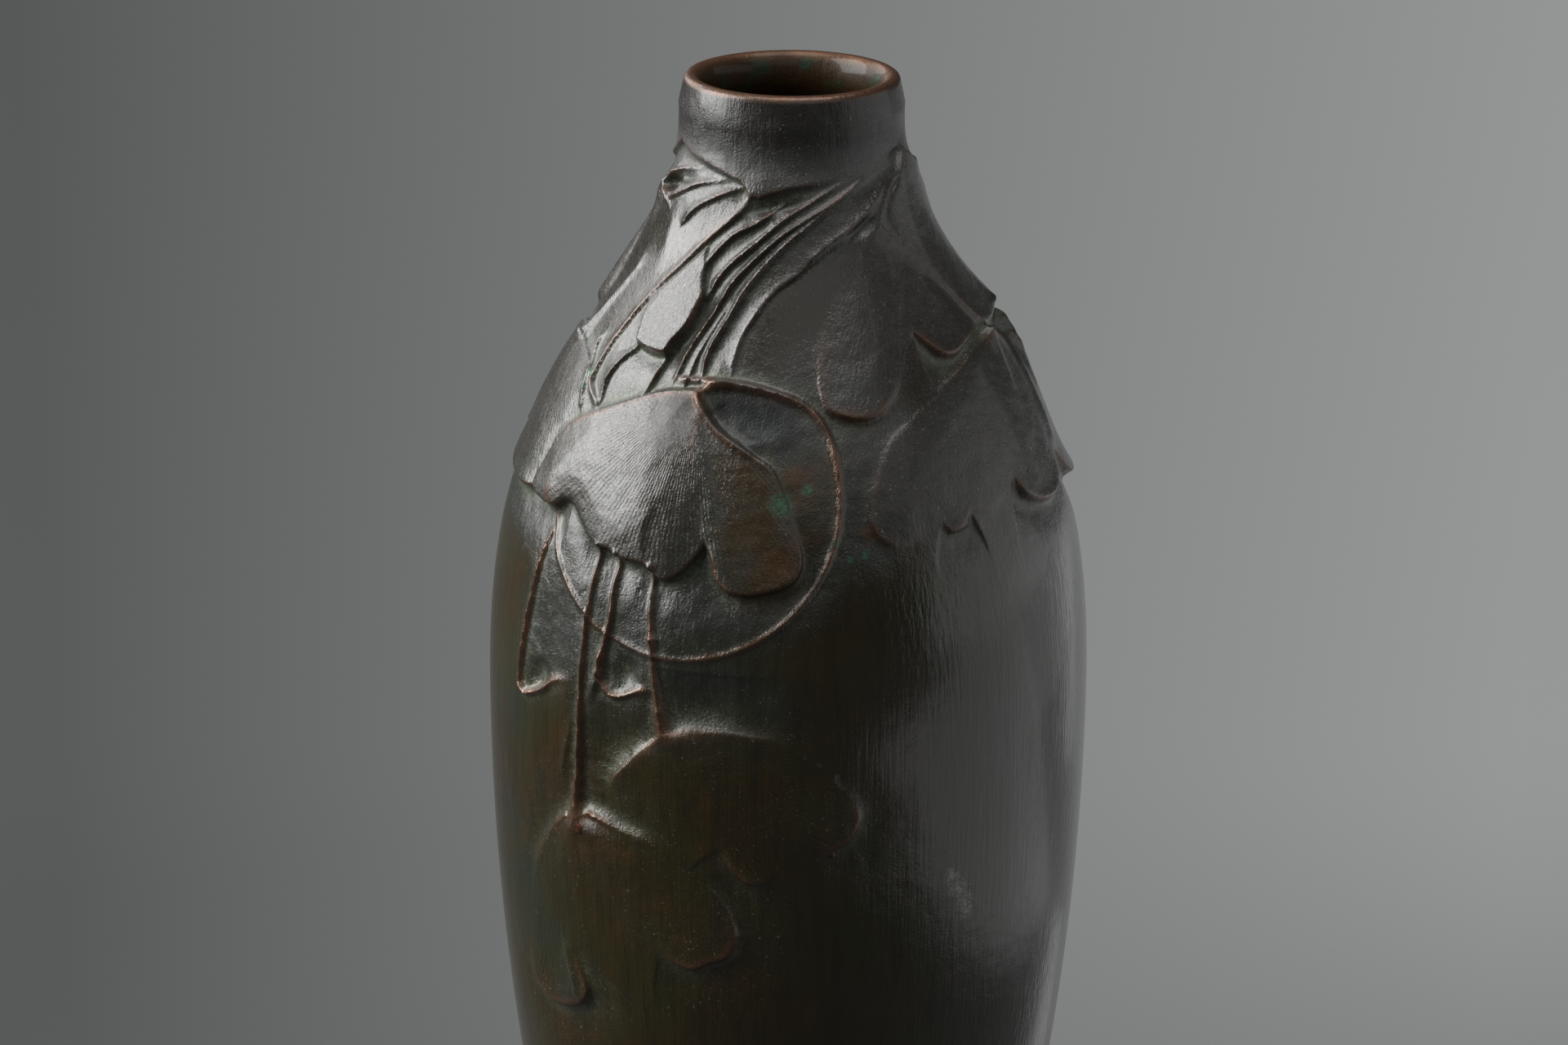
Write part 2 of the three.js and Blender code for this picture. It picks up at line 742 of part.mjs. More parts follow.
const vaseBody = new THREE.Mesh(geometryOf(body), BRONZE);
vaseBody.name = "vase_body";
vase.add(vaseBody);

const plateProfile = [
  new THREE.Vector2(0, PLATE_RECESS),
  new THREE.Vector2(PLATE_RADIUS, PLATE_RECESS),
  new THREE.Vector2(PLATE_RADIUS, PLATE_RECESS + PLATE_THICKNESS),
  new THREE.Vector2(0, PLATE_RECESS + PLATE_THICKNESS),
];
const basePlate = new THREE.Mesh(turned(plateProfile, VASE_SIDES), BRONZE);
basePlate.name = "base_plate";
vase.add(basePlate);

// The solder lies in the corner between the disc and the rebate, clear of the surface below.
const solderTop = PLATE_RECESS - FIT_GAP;
const solderLeg = solderTop - SOLDER_SETBACK;
const solderProfile = [
  new THREE.Vector2(PLATE_RADIUS - solderLeg, solderTop),
  new THREE.Vector2(PLATE_RADIUS, SOLDER_SETBACK),
  new THREE.Vector2(PLATE_RADIUS, solderTop),
  new THREE.Vector2(PLATE_RADIUS - solderLeg, solderTop),
];
const baseSolder = new THREE.Mesh(turned(solderProfile, VASE_SIDES), SOLDER);
baseSolder.name = "base_solder";
vase.add(baseSolder);

export default vase;
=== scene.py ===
import math

import bpy
import numpy as np
from mathutils import Euler, Matrix, Vector


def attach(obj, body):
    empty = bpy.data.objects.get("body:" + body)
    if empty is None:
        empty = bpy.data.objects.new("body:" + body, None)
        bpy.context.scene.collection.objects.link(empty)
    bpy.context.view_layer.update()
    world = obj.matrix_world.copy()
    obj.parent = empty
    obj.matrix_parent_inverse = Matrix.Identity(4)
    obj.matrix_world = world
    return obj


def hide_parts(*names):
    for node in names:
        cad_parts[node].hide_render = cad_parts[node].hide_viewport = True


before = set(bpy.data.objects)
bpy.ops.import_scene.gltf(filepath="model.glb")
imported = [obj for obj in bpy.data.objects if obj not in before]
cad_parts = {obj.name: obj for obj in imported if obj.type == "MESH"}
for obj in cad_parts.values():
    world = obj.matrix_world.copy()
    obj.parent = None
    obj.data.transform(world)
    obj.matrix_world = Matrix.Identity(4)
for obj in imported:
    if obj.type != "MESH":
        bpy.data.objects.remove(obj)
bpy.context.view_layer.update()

# The vase itself: one hollow bronze casting with a wall of 3 mm. Its outline is a smooth turned
# form, and its leaves, stems and ring were modelled in the wax, so they are one with the wall.
LIP_TOP = 260.0

# Stations of the outline from the foot up: height, radius, and growth of the radius with height.
OUTLINE = np.array((
    (0.0, 34.6, 0.29),
    (145.0, 55.1, 0.0),
    (204.0, 43.0, -0.52),
    (238.0, 23.6, -0.3),
    (LIP_TOP, 19.3, -0.12),
))


def radius_at(height):
    stations, radii, flares = OUTLINE.T
    height = np.asarray(height, float)
    k = np.clip(np.searchsorted(stations, height) - 1, 0, len(stations) - 2)
    rise = stations[k + 1] - stations[k]
    t = (height - stations[k]) / rise
    return (
        (2 * t**3 - 3 * t**2 + 1) * radii[k]
        + (t**3 - 2 * t**2 + t) * rise * flares[k]
        + (3 * t**2 - 2 * t**3) * radii[k + 1]
        + (t**3 - t**2) * rise * flares[k + 1]
    )


def flare_at(height):
    return (radius_at(height + 0.01) - radius_at(height - 0.01)) / 0.02


def on_vase(azimuth, height, lift=0.0):
    """A place on the outline, in mm. The azimuth runs from the front (-Y) towards +X."""
    azimuth = np.radians(azimuth)
    height = np.asarray(height, float)
    flare = flare_at(height)
    slant = np.hypot(1.0, flare)
    radius = radius_at(height) + lift / slant
    return np.stack((
        radius * np.sin(azimuth),
        -radius * np.cos(azimuth),
        height - lift * flare / slant,
    ), axis=-1)


SLANT_HEIGHTS = np.arange(0.0, LIP_TOP + 0.5, 0.5)
SLANT_LENGTHS = np.concatenate(([0.0], np.cumsum(np.hypot(
    np.diff(SLANT_HEIGHTS), np.diff(radius_at(SLANT_HEIGHTS))))))


def up_the_slope(height):
    """The length of the outline from the foot to a height."""
    return np.interp(height, SLANT_HEIGHTS, SLANT_LENGTHS)


# The relief is worked out on a chart of the wall, one row for each height and one column for each
# azimuth. It holds how far the metal stands proud of the turned outline, in mm.
CHART_BOTTOM, CHART_TOP = 84.0, 257.0
CHART_STEP = 0.28
COLUMNS = 1260
chart_heights = np.arange(CHART_BOTTOM, CHART_TOP, CHART_STEP)
chart_azimuths = np.arange(COLUMNS) * 360.0 / COLUMNS - 180.0
relief = np.zeros((len(chart_heights), COLUMNS))
vein_across = np.zeros_like(relief)
vein_depth = np.zeros_like(relief)
bare = np.zeros_like(relief)


def smooth_line(points, spacing=1.5):
    """A smooth line through the points, each of which is an azimuth, a height and more values."""
    points = np.array(points, float)
    spots = on_vase(points[:, 0], points[:, 1])
    ends = (2 * points[0] - points[1], 2 * points[-1] - points[-2])
    guide = np.vstack((ends[0], points, ends[1]))
    line = []
    for k in range(len(points) - 1):
        a, b, c, d = guide[k:k + 4]
        count = max(1, math.ceil(np.linalg.norm(spots[k + 1] - spots[k]) / spacing))
        for t in np.arange(count) / count:
            line.append(0.5 * (
                2 * b + (c - a) * t + (2 * a - 5 * b + 4 * c - d) * t**2
                + (3 * b - a - 3 * c + d) * t**3))
    line.append(points[-1])
    return np.array(line)


def straight_line(start, end, spacing=1.5):
    start, end = np.array(start, float), np.array(end, float)
    gap = np.linalg.norm(on_vase(end[0], end[1]) - on_vase(start[0], start[1]))
    t = np.linspace(0.0, 1.0, max(2, math.ceil(gap / spacing) + 1))[:, None]
    return start + (end - start) * t


def chart_window(line, border):
    """The part of the chart within a border of the line, and its azimuths and heights."""
    low, high = line[:, 1].min() - border, line[:, 1].max() + border
    rows = np.flatnonzero((chart_heights >= low) & (chart_heights <= high))
    spread = np.degrees(border / radius_at(min(high, LIP_TOP)))
    first = math.floor((line[:, 0].min() - spread + 180.0) * COLUMNS / 360.0)
    last = math.ceil((line[:, 0].max() + spread + 180.0) * COLUMNS / 360.0)
    columns = np.arange(first, last + 1)
    azimuth, height = np.meshgrid(columns * 360.0 / COLUMNS - 180.0, chart_heights[rows])
    return np.ix_(rows, columns % COLUMNS), azimuth, height


def nearest_on(line, azimuth, height):
    """Each place's distance to the line, where along it that is, and its side, right being +1."""
    spots = on_vase(line[:, 0], line[:, 1])
    places = on_vase(azimuth, height)
    closest = np.full(azimuth.shape, np.inf)
    along = np.zeros(azimuth.shape)
    side = np.ones(azimuth.shape)
    for k in range(len(spots) - 1):
        run = spots[k + 1] - spots[k]
        offset = places - spots[k]
        t = np.clip(offset @ run / (run @ run), 0.0, 1.0)
        gap = ((offset - t[..., None] * run) ** 2).sum(axis=-1)
        closer = gap < closest
        closest[closer] = gap[closer]
        along[closer] = k + t[closer]
        leftwards = np.cross((spots[k][0], spots[k][1], 0.0), run)
        side[closer] = np.where(offset[closer] @ leftwards > 0.0, -1.0, 1.0)
    return np.sqrt(closest), along, side


def inside_outline(outline, azimuth, height):
    odd = np.zeros(azimuth.shape, bool)
    for (a0, h0), (a1, h1) in zip(outline[:-1, :2], outline[1:, :2]):
        if h0 == h1:
            continue
        crossed = (h0 > height) != (h1 > height)
        odd ^= crossed & (azimuth < a0 + (height - h0) * (a1 - a0) / (h1 - h0))
    return odd


def value_along(line, column, along):
    return np.interp(along, np.arange(len(line)), line[:, column])


def trough(distance, width):
    """A soft groove beside an edge: nothing at the edge, deepest at the width, then fading."""
    x = np.maximum(distance, 0.0) / width
    return x * np.exp(1.0 - x)


# How far from a ridge or a leaf, in mm, the chart is worked out anew.
RIDGE_BORDER, LEAF_BORDER = 9.0, 10.0


def ridge(points, left=0.55, right=0.55, power=2.0, dig_left=0.0, dig_right=0.0, dig_width=1.3, worn=0.0):
    """A raised line. Its points are azimuth, height, how high it stands and its relative width. Left
    and right are how far its sides spread, in mm, and the ground may be dug out beside either. The
    modeller's hand shows: it swells and thins along its way, the less so the broader it is."""
    line = smooth_line(points)
    window, azimuth, height = chart_window(line, RIDGE_BORDER)
    distance, along, side = nearest_on(line, azimuth, height)
    by_hand = np.sin(1.1 * along + len(line)) + 0.6 * np.sin(2.7 * along + 1.3 * len(line))
    by_hand *= min(1.0, 0.9 / (left + right))
    rise = value_along(line, 2, along) * (1.0 + 0.1 * by_hand)
    width = np.where(side > 0, right, left) * value_along(line, 3, along) * (1.0 + 0.07 * by_hand)
    dig = np.where(side > 0, dig_right, dig_left) * np.minimum(rise, 1.0)
    relief[window] += rise * np.exp(-((distance / width) ** power)) - dig * trough(distance, dig_width)
    rubbed = worn * np.clip(2.5 * rise, 0.0, 1.0) * np.exp(-((distance / (width + 0.1)) ** 2))
    bare[window] = np.maximum(bare[window], rubbed)


# In a leaf, in mm: the band inside its margin where a crown or a fold fades out, the width of the
# raised rim, and how far inside the margin the veins are at full depth. Its lift is known on spokes
# that fan out from the stalk, this many degrees apart.
MARGIN_BAND, RIM_WIDTH, VEIN_FADE = 5.0, 0.7, 1.2
SPOKE_STEP = 2.0


def leaf(stalk, margin, body=0.0, veins=1.0, curl=3.0, crown=0.0, rim=0.1, folds=(), dig_width=1.7, edge=0.25,
         worn=0.0):
    """A fan-shaped leaf that lies on the wall. The stalk's end is an azimuth, a height and a lift.
    The margin's points run from the left side of the fan to the right, and each is an azimuth, a
    height, the lift there and how deep the ground is cut back beside it. Between the two the leaf
    stands as high as its body."""
    fan = smooth_line(margin)
    root = (*stalk, 0.1)
    outline = np.vstack((straight_line(root, fan[0])[:-1], fan, straight_line(fan[-1], root)[1:]))
    window, azimuth, height = chart_window(outline, LEAF_BORDER)
    distance, along, _ = nearest_on(outline, azimuth, height)
    beyond = np.where(inside_outline(outline, azimuth, height), -distance, distance)

    def fan_place(a, h):
        across = np.radians(a - stalk[0]) * radius_at(h)
        down = up_the_slope(stalk[1]) - up_the_slope(h)
        return np.degrees(np.arctan2(across, down)), np.hypot(across, down)

    fan_angle, fan_reach = fan_place(fan[:, 0], fan[:, 1])
    spokes = np.arange(fan_angle.min(), fan_angle.max() + SPOKE_STEP, SPOKE_STEP)
    near = np.exp(-(((fan_angle - spokes[:, None]) / SPOKE_STEP) ** 2)) + 1e-9
    spoke_reach = np.where(near > 0.1, fan_reach, 0.0).max(axis=1)
    spoke_reach = np.where(spoke_reach > 0.0, spoke_reach, (near * fan_reach).sum(axis=1) / near.sum(axis=1))
    spoke_lift = (near * fan[:, 2]).sum(axis=1) / near.sum(axis=1)
    angle, reach = fan_place(azimuth, height)
    t = np.clip(reach / np.interp(angle, spokes, spoke_reach), 0.0, 1.0)
    top = body + (stalk[2] - body) * (1.0 - t) ** 5 + (np.interp(angle, spokes, spoke_lift) - body) * t**curl
    inner = np.clip(-beyond / MARGIN_BAND, 0.0, 1.0)
    top += crown * np.sin(math.pi * t) * inner
    for fold_angle, fold_width, fold_rise in folds:
        top += fold_rise * t * np.sqrt(inner) * np.exp(-(((angle - fold_angle) / fold_width) ** 2))
    proud = np.clip(value_along(outline, 2, along), 0.0, 1.0)
    top += rim * proud * np.exp(-((beyond / RIM_WIDTH) ** 2))
    covered = 0.5 - 0.5 * np.tanh(beyond / edge)
    under = relief[window]
    relief[window] = (
        under + covered * np.maximum(0.0, top - under)
        - value_along(outline, 3, along) * trough(beyond, dig_width) * (beyond > 0)
    )
    rubbed = worn * proud * np.exp(-(((beyond + 0.3) / RIM_WIDTH) ** 2))
    bare[window] = np.maximum(bare[window], rubbed)
    on_leaf = beyond < 0
    vein_across[window] = np.where(on_leaf, np.radians(angle) * fan_reach.mean(), vein_across[window])
    strength = veins * np.clip(-beyond / VEIN_FADE, 0.0, 1.0)
    vein_depth[window] = np.where(on_leaf, strength, vein_depth[window])


def hollow(azimuth, height, half_width, half_height, depth, turn=0.0):
    """A smooth shallow pit, an oval whose long way may be turned."""
    spot = np.array(((azimuth, height),))
    window, a, h = chart_window(spot, 1.1 * max(half_width, half_height))
    across = np.radians(a - azimuth) * radius_at(h)
    up = up_the_slope(h) - up_the_slope(height)
    c, s = math.cos(math.radians(turn)), math.sin(math.radians(turn))
    q = ((across * c + up * s) / half_width) ** 2 + ((up * c - across * s) / half_height) ** 2
    relief[window] -= depth * np.clip(1.0 - q, 0.0, 1.0) ** 2


def moved(points, azimuth, height=0.0):
    return [(a + azimuth, h + height, *rest) for a, h, *rest in points]


def mirrored(points, azimuth):
    """The points seen in a mirror that sends the front to the given azimuth, in their own order."""
    return [(azimuth - a, h, *rest) for a, h, *rest in reversed(points)]


# The collar stands proud of the neck and ends in an uneven hem. The neck has a slight waist there.
COLLAR_PROUD = 0.5
COLLAR_HEM = (
    (-74, 249.3), (-68, 248.7), (-60, 248), (-50, 247.4), (-38, 246.5), (-31.7, 245.9), (-24.5, 245.2),
    (-21.5, 244.1), (-18.5, 242.8), (-14.5, 242.7), (-10, 243.4), (0, 244.5), (10, 244.9), (20, 245.4),
    (31, 246.6), (42, 247.2), (54, 248.2), (67, 248.8), (76, 247.4), (85, 245.2), (110, 243.6),
    (150, 246.2), (190, 244.2), (235, 246.8), (265, 245),
)
hem = np.array(COLLAR_HEM, float)
hem_height = np.interp(chart_azimuths, hem[:, 0], hem[:, 1], period=360.0)
above_hem = chart_heights[:, None] - hem_height[None, :]
hem_strength = np.interp(
    chart_azimuths, (-180, -75, -20, 8, 20, 56, 75, 110, 180), (0.7, 1, 1, 0.8, 0.15, 0.1, 0.9, 0.8, 0.7))
waist = -1.2 * np.exp(-(((chart_heights - 248.0) / 5.2) ** 2))[:, None]
waist += 0.35 * np.exp(-(((chart_heights - 256.4) / 1.8) ** 2))[:, None]
relief += waist
relief -= 0.7 * hem_strength * trough(-above_hem, 1.4) * (above_hem < 0)

# The sheet that rolls up under the hem on the left. It opens in a small hollow, which is dark at
# its left end, and two grooves run from it towards the tip of the hem.
ridge([(-84, 231, 0.1, 3), (-83, 236.5, 0.5, 2.6), (-81.5, 240.2, 0.9, 2.0), (-80, 242.2, 0.6, 1.6)],
      left=0.8, right=0.8)
ridge([(-65.5, 238.2, 0.15, 0.8), (-71.4, 239.2, 0.55, 0.9), (-75.4, 240.2, 0.8, 1), (-78.2, 241.4, 1.0, 1.1),
       (-76.6, 242.6, 1.0, 1.1), (-72, 243.8, 0.9, 0.9), (-66, 244.9, 0.7, 0.8), (-59, 245.6, 0.5, 0.8),
       (-51, 245.9, 0.2, 0.8)], left=0.6, right=0.45)
hollow(-71.8, 241.9, 3.7, 2.0, 2.2, turn=10)
hollow(-61, 243.6, 4.6, 1.3, 0.7, turn=12)
ridge([(-68, 239.4, 0.3, 0.8), (-62.5, 240.6, 0.5, 1), (-56.5, 241.9, 0.55, 1), (-51.1, 243.1, 0.6, 1),
       (-44.5, 244.0, 0.55, 1), (-37, 244.7, 0.4, 1), (-32.9, 245.0, 0.2, 1)],
      left=0.8, right=0.45, power=1.3, dig_right=0.3, dig_width=0.6)
ridge([(-51.5, 236.6, 0.3, 0.8), (-49.9, 237.6, 0.45, 1), (-45.7, 239.6, 0.55, 1), (-38, 241.6, 0.6, 1),
       (-29.7, 243.3, 0.5, 1), (-24.4, 244, 0.3, 1)],
      left=0.8, right=0.45, power=1.3, dig_right=0.35, dig_width=0.7)
hollow(-24.8, 242.8, 1.7, 1.3, 0.4)
ridge([(-60.5, 237.4, 0.1, 1), (-59, 235.5, 0.25, 1), (-58, 232, 0.2, 1), (-58.5, 229, 0.05, 1)],
      left=1.6, right=1.3, power=1.6)

# The strands: flat stalks that sweep down from the right of the collar, each lying over the next,
# so that each rises slowly on its upper side and ends in a sharp lower edge.
STRANDS = (
    ((-34.2, 229.4, 0.4, 0.8), (-32.3, 231.9, 0.7, 1), (-24.5, 236, 0.8, 1), (-15, 238.4, 0.7, 0.8),
     (-5.3, 241.3, 0.4, 0.5), (2.2, 242.6, 0.15, 0.5)),
    ((-30.5, 225.8, 0.5, 0.8), (-25, 230.5, 0.8, 1), (-15, 234.8, 0.9, 0.9), (-4.6, 238.8, 0.6, 0.6),
     (7.4, 241.8, 0.5, 0.5), (23.8, 244.8, 0.3, 0.5), (40, 246.7, 0.15, 0.5)),
    ((-32.4, 213.4, 0.4, 0.8), (-30.5, 217.7, 0.9, 1), (-25.7, 223.5, 1, 1), (-20.3, 229.1, 1, 1),
     (-10.2, 234.2, 0.9, 0.85), (0, 237.7, 0.7, 0.6), (18.6, 241.9, 0.5, 0.5), (35.7, 245.2, 0.3, 0.5),
     (43.2, 246.5, 0.15, 0.5)),
    ((-24.6, 214.2, 0.4, 0.8), (-24, 218, 1.1, 1.1), (-19.7, 223.5, 1.2, 1.1), (-15, 228.5, 1.1, 1.1),
     (-5.3, 233.9, 1.0, 0.9), (4.4, 237.4, 0.8, 0.7), (18.6, 241.4, 0.6, 0.6), (34, 244.3, 0.4, 0.5),
     (48, 246.2, 0.15, 0.5)),
    ((-16, 215.2, 0.2, 0.8), (-16.1, 217, 0.5, 1), (-14.8, 220.7, 0.6, 1), (-12.6, 223, 0.6, 1),
     (-9.5, 225.6, 0.5, 1), (-4.8, 228.2, 0.4, 1), (3.2, 230.8, 0.35, 1), (8.1, 232.8, 0.45, 1.1),
     (15.2, 235.0, 0.65, 1.2), (23.9, 237.0, 0.75, 1.3), (32.6, 239.1, 0.75, 1.3), (38.1, 240.7, 0.6, 1.2),
     (43.3, 242.2, 0.4, 1), (47.4, 243.8, 0.2, 1)),
)
for strand in STRANDS:
    ridge(strand, left=0.72, right=0.5, power=1.6, dig_right=0.25, dig_width=0.9)
hollow(-8, 241.2, 7.0, 1.5, 0.8, turn=10)
ridge([(-28.6, 213.2, 0.4, 1), (-27.4, 217, 0.5, 1), (-24.5, 221.5, 0.4, 1), (-21, 225.5, 0.2, 1)],
      left=1.2, right=0.3, power=1.3, dig_right=0.4, dig_width=0.8)
ridge([(-54.5, 206.8, 0.3, 1), (-54.8, 210.5, 0.6, 1), (-53.2, 213.2, 0.6, 1), (-49.4, 217.2, 0.4, 1)],
      left=0.9, right=0.3, power=1.4, dig_right=0.3, dig_width=0.9)
ridge([(-40.6, 209.8, 0.3, 1), (-39.4, 211.6, 0.6, 1), (-38.2, 214.7, 0.7, 1), (-37.2, 217, 0.6, 1)],
      left=1.6, right=0.3, power=1.4, dig_right=0.5, dig_width=0.9)
ridge([(40, 236.9, 0.3, 1), (42.7, 238.8, 0.5, 1), (46, 240.8, 0.6, 1), (50.9, 242.9, 0.7, 1),
       (56, 244.2, 0.7, 1), (61.8, 245.1, 0.7, 1), (70, 246.3, 0.7, 1), (79, 247, 0.6, 1.1)],
      left=1.4, right=0.4, power=1.5, dig_right=0.3)
ridge([(72, 245.4, 0.3, 1), (80, 247.6, 0.8, 1.2), (88, 248, 1.2, 1.5), (95, 246.2, 1.4, 1.9),
       (99, 242, 1.1, 2.4), (100, 236, 0.7, 3)], left=1.0, right=1.3)

# The torn tip of a leaf that lies under the stem, with a sharp edge below and on the right.
leaf((-53.2, 223.9, 0.5), [
    (-52.0, 220.6, 0.4, 0.0), (-50.8, 218.6, 0.7, 0.2), (-49.8, 217.2, 1.0, 0.9), (-44.2, 216.5, 1.0, 1.1),
    (-38.0, 216.5, 1.1, 1.1), (-36.6, 218.2, 1.1, 1.1), (-34, 220.2, 1.1, 1.1), (-32.4, 222.2, 1.2, 1.1),
    (-31.2, 224.8, 1.2, 1.0), (-31.0, 226.4, 1.0, 0.8), (-32.4, 228.0, 0.8, 0.4), (-33.2, 230.4, 0.7, 0.3),
    (-35.2, 233.6, 0.5, 0.1),
], body=0.7, veins=0.0, curl=2.0, rim=0.05, dig_width=1.1, edge=0.18)

# The main stem, from the tip of the collar's hem down to the leaf on the left: a thin sharp ridge.
MAIN_STEM = [
    (-55.5, 206.4, 0.4, 0.9), (-58, 207.4, 0.6, 1), (-60.5, 208.8, 0.65, 1), (-61.3, 211, 0.65, 1),
    (-60.6, 214.8, 0.5, 1), (-59.1, 217.7, 0.5, 1), (-53.7, 224.4, 0.5, 1), (-44.8, 230, 0.55, 1),
    (-35.2, 235, 0.6, 1), (-28.7, 237.6, 0.6, 1), (-24.2, 239.5, 0.6, 1), (-21.1, 240.9, 0.6, 1),
    (-19.4, 242.9, 0.45, 1.1),
]
ridge(MAIN_STEM, left=0.9, right=0.48, dig_right=0.2, dig_width=0.6, worn=0.35)

# The leaf on the left shoulder, whose right part goes under the leaf at the ring.
SIDE_LEAF = [
    (-90, 214.6, 0.6, 0.3), (-101, 211.5, 0.7, 0.4), (-109, 204.5, 0.8, 0.5), (-108, 197, 0.9, 0.6),
    (-101, 192.5, 1.1, 0.7), (-94, 195, 0.4, 0.2), (-88, 190, 1.2, 0.7), (-78, 188.3, 1.3, 0.8),
    (-70, 188.5, 1.5, 0.9), (-65, 189.8, 1.1, 0.6), (-60, 192, 0.3, 0.1), (-56, 197, 0.1, 0),
    (-58, 205, 0.1, 0), (-62, 209.6, 0.4, 0.2), (-65, 210.8, 0.5, 0.3), (-69.3, 212, 0.5, 0.3),
    (-74.6, 213, 0.5, 0.2),
]
leaf((-80, 214.2, 0.6), SIDE_LEAF, body=0.25, veins=0.9, curl=4.0, crown=0.2, rim=0.08,
     folds=((-20, 12, -0.2), (25, 14, 0.1)))
ridge([(-70, 228, 0.3, 1), (-76, 220, 0.6, 1.1), (-80, 213.6, 1.2, 1.8)], left=0.8, right=0.8)
ridge([(-66.5, 216.2, 0.2, 1), (-68, 214.6, 0.6, 1.2), (-66.6, 212.6, 0.6, 1), (-64.2, 210.6, 0.4, 1),
       (-62.2, 207.4, 0.5, 1), (-60.8, 205, 0.3, 1)], left=0.45, right=0.5, dig_right=0.3)

# The leaf high on the left, seen only as a swelling of the outline.
HIGH_SIDE_LEAF = [
    (-112, 230, 0.5, 0.3), (-120.5, 224, 0.6, 0.4), (-119, 218, 0.8, 0.6), (-110, 216.5, 1.0, 0.6),
    (-102, 219.5, 0.6, 0.2), (-96, 217.8, 1.1, 0.4), (-90, 218.8, 0.8, 0.2), (-87.5, 223, 0.5, 0.1),
    (-89.5, 229, 0.3, 0),
]
leaf((-97, 234.5, 0.2), HIGH_SIDE_LEAF, body=0.5, veins=0.7, curl=2.5, crown=0.4, rim=0.0, edge=0.9)

# The leaf on the right shoulder. Most of it is level with the wall, and only its tips stand up.
SHOULDER_LEAF = [
    (22, 231.3, 0.0, 0), (14, 226, 0.0, 0), (9.8, 221.5, 0.15, 0.05), (8, 216.8, 0.35, 0.25),
    (7.8, 213.2, 0.35, 0.3), (9.2, 210, 0.5, 0.45), (13.4, 208.4, 0.8, 0.6), (19.3, 208, 0.75, 0.55),
    (24.4, 209.4, 0.5, 0.3), (31, 213.5, 0, 0), (38.5, 219.5, 0.1, 0), (41.2, 219.0, 0.7, 0.4),
    (46.5, 215.6, 1.3, 0.9), (52, 215.0, 1.2, 0.8), (58, 215.8, 0.9, 0.5), (65, 216.6, 0.6, 0.3),
    (73, 217.8, 0.3, 0.1), (70, 221.5, 0.25, 0.2), (65.6, 225.3, 0.25, 0.25), (59.6, 229, 0.2, 0.2),
    (52.1, 231.8, 0.2, 0.2), (44.7, 235.2, 0.3, 0.2),
]
leaf((39.8, 237.4, 0.1), SHOULDER_LEAF, body=0.05, veins=0.35, curl=5.0, crown=0.25, rim=0.05,
     folds=((8, 9, -0.35), (-14, 12, 0.2), (32, 12, 0.2)), worn=0.8)
hollow(31.5, 237.1, 4.2, 1.9, 0.8, turn=24)

# The leaf on the right of the neck, which ends over the flank in a thick tip.
NECK_LEAF = [
    (56, 243.5, 0.15, 0), (47, 239.8, 0.1, 0), (48, 235.6, 0.1, 0), (53, 231.6, 0.2, 0.1),
    (60, 227.6, 0.3, 0.2), (66, 223.6, 0.35, 0.3), (71, 219.6, 0.5, 0.4), (76, 216.8, 0.7, 0.5),
    (83, 216.0, 1.1, 0.6), (90, 215.9, 1.7, 0.8), (97, 216.2, 2.5, 0.8), (104, 217.4, 2.2, 0.6),
    (111, 221, 1.2, 0.4), (114, 228, 0.6, 0.2), (112, 238, 0.4, 0.1), (105, 246, 0.3, 0),
]
leaf((70, 248.8, 0.2), NECK_LEAF, body=0.4, veins=0.3, curl=4.0, rim=0.0, edge=0.5)

# The leaf on the right flank, and the knot where its stalk bends over.
FLANK_LEAF = [
    (58, 214.2, 0, 0), (42, 211, 0, 0), (30, 207, 0.05, 0), (24.4, 204.7, 0.2, 0.1),
    (21.2, 201.6, 0.2, 0.15), (18.3, 197.5, 0.3, 0.2), (16.8, 193, 0.35, 0.3), (17.3, 190.3, 0.4, 0.3),
    (19.5, 188.3, 0.5, 0.35), (23.5, 187.3, 0.2, 0.1), (29, 189.5, 0, 0), (32.6, 190, 0.1, 0),
    (34.2, 188.4, 0.8, 0.6), (38.6, 188.9, 1.2, 0.9), (40.2, 191, 0.3, 0.1), (46, 190, 0.2, 0.1),
    (52, 192.4, 0.0, 0), (55.5, 193.8, 0.3, 0.2), (57, 190.8, 1.2, 0.9), (61, 188.8, 1.2, 0.8),
    (66, 187.7, 1.1, 0.7), (71, 187.6, 1.2, 0.7), (75.5, 189.2, 1.2, 0.6), (78.5, 191.8, 0.8, 0.4),
    (80.5, 192.8, 0.5, 0.2), (83, 190.8, 0.8, 0.4), (86.5, 187.4, 1.6, 0.8), (91, 185.5, 2.1, 1),
    (96, 185.6, 2.2, 1), (101, 188.5, 1.6, 0.6), (104, 195, 0.8, 0.3), (102, 203, 0.4, 0.1),
    (95, 211, 0.3, 0),
]
leaf((76, 215.8, 0.8), FLANK_LEAF, body=0.1, veins=0.35, curl=6.0, crown=0.25, rim=0.05,
     folds=((-12, 8, -0.3), (-38, 9, 0.2), (14, 9, 0.25)), worn=0.7)
ridge([(68, 222, 0.1, 1), (72, 218.6, 0.4, 1.2), (74.6, 216.2, 1.0, 1.6), (73, 212.6, 0.5, 1.8),
       (70.8, 207, 0.2, 2)], left=0.8, right=0.8)
ridge([(74, 216.0, 0.6, 1.3), (80, 215.2, 0.4, 1.4), (87, 214.8, 0.6, 1.4), (93, 214.8, 0.9, 1.3)],
      left=0.8, right=0.9)
ridge([(97, 215.2, 1.6, 1), (97.5, 213.8, 2.7, 1.2), (97.5, 211, 2.4, 1.2), (97.5, 206, 1.4, 1.3),
       (97, 201, 0.6, 1.5), (97, 195, 0.2, 1.6)], left=1.7, right=1.7, power=2.3)
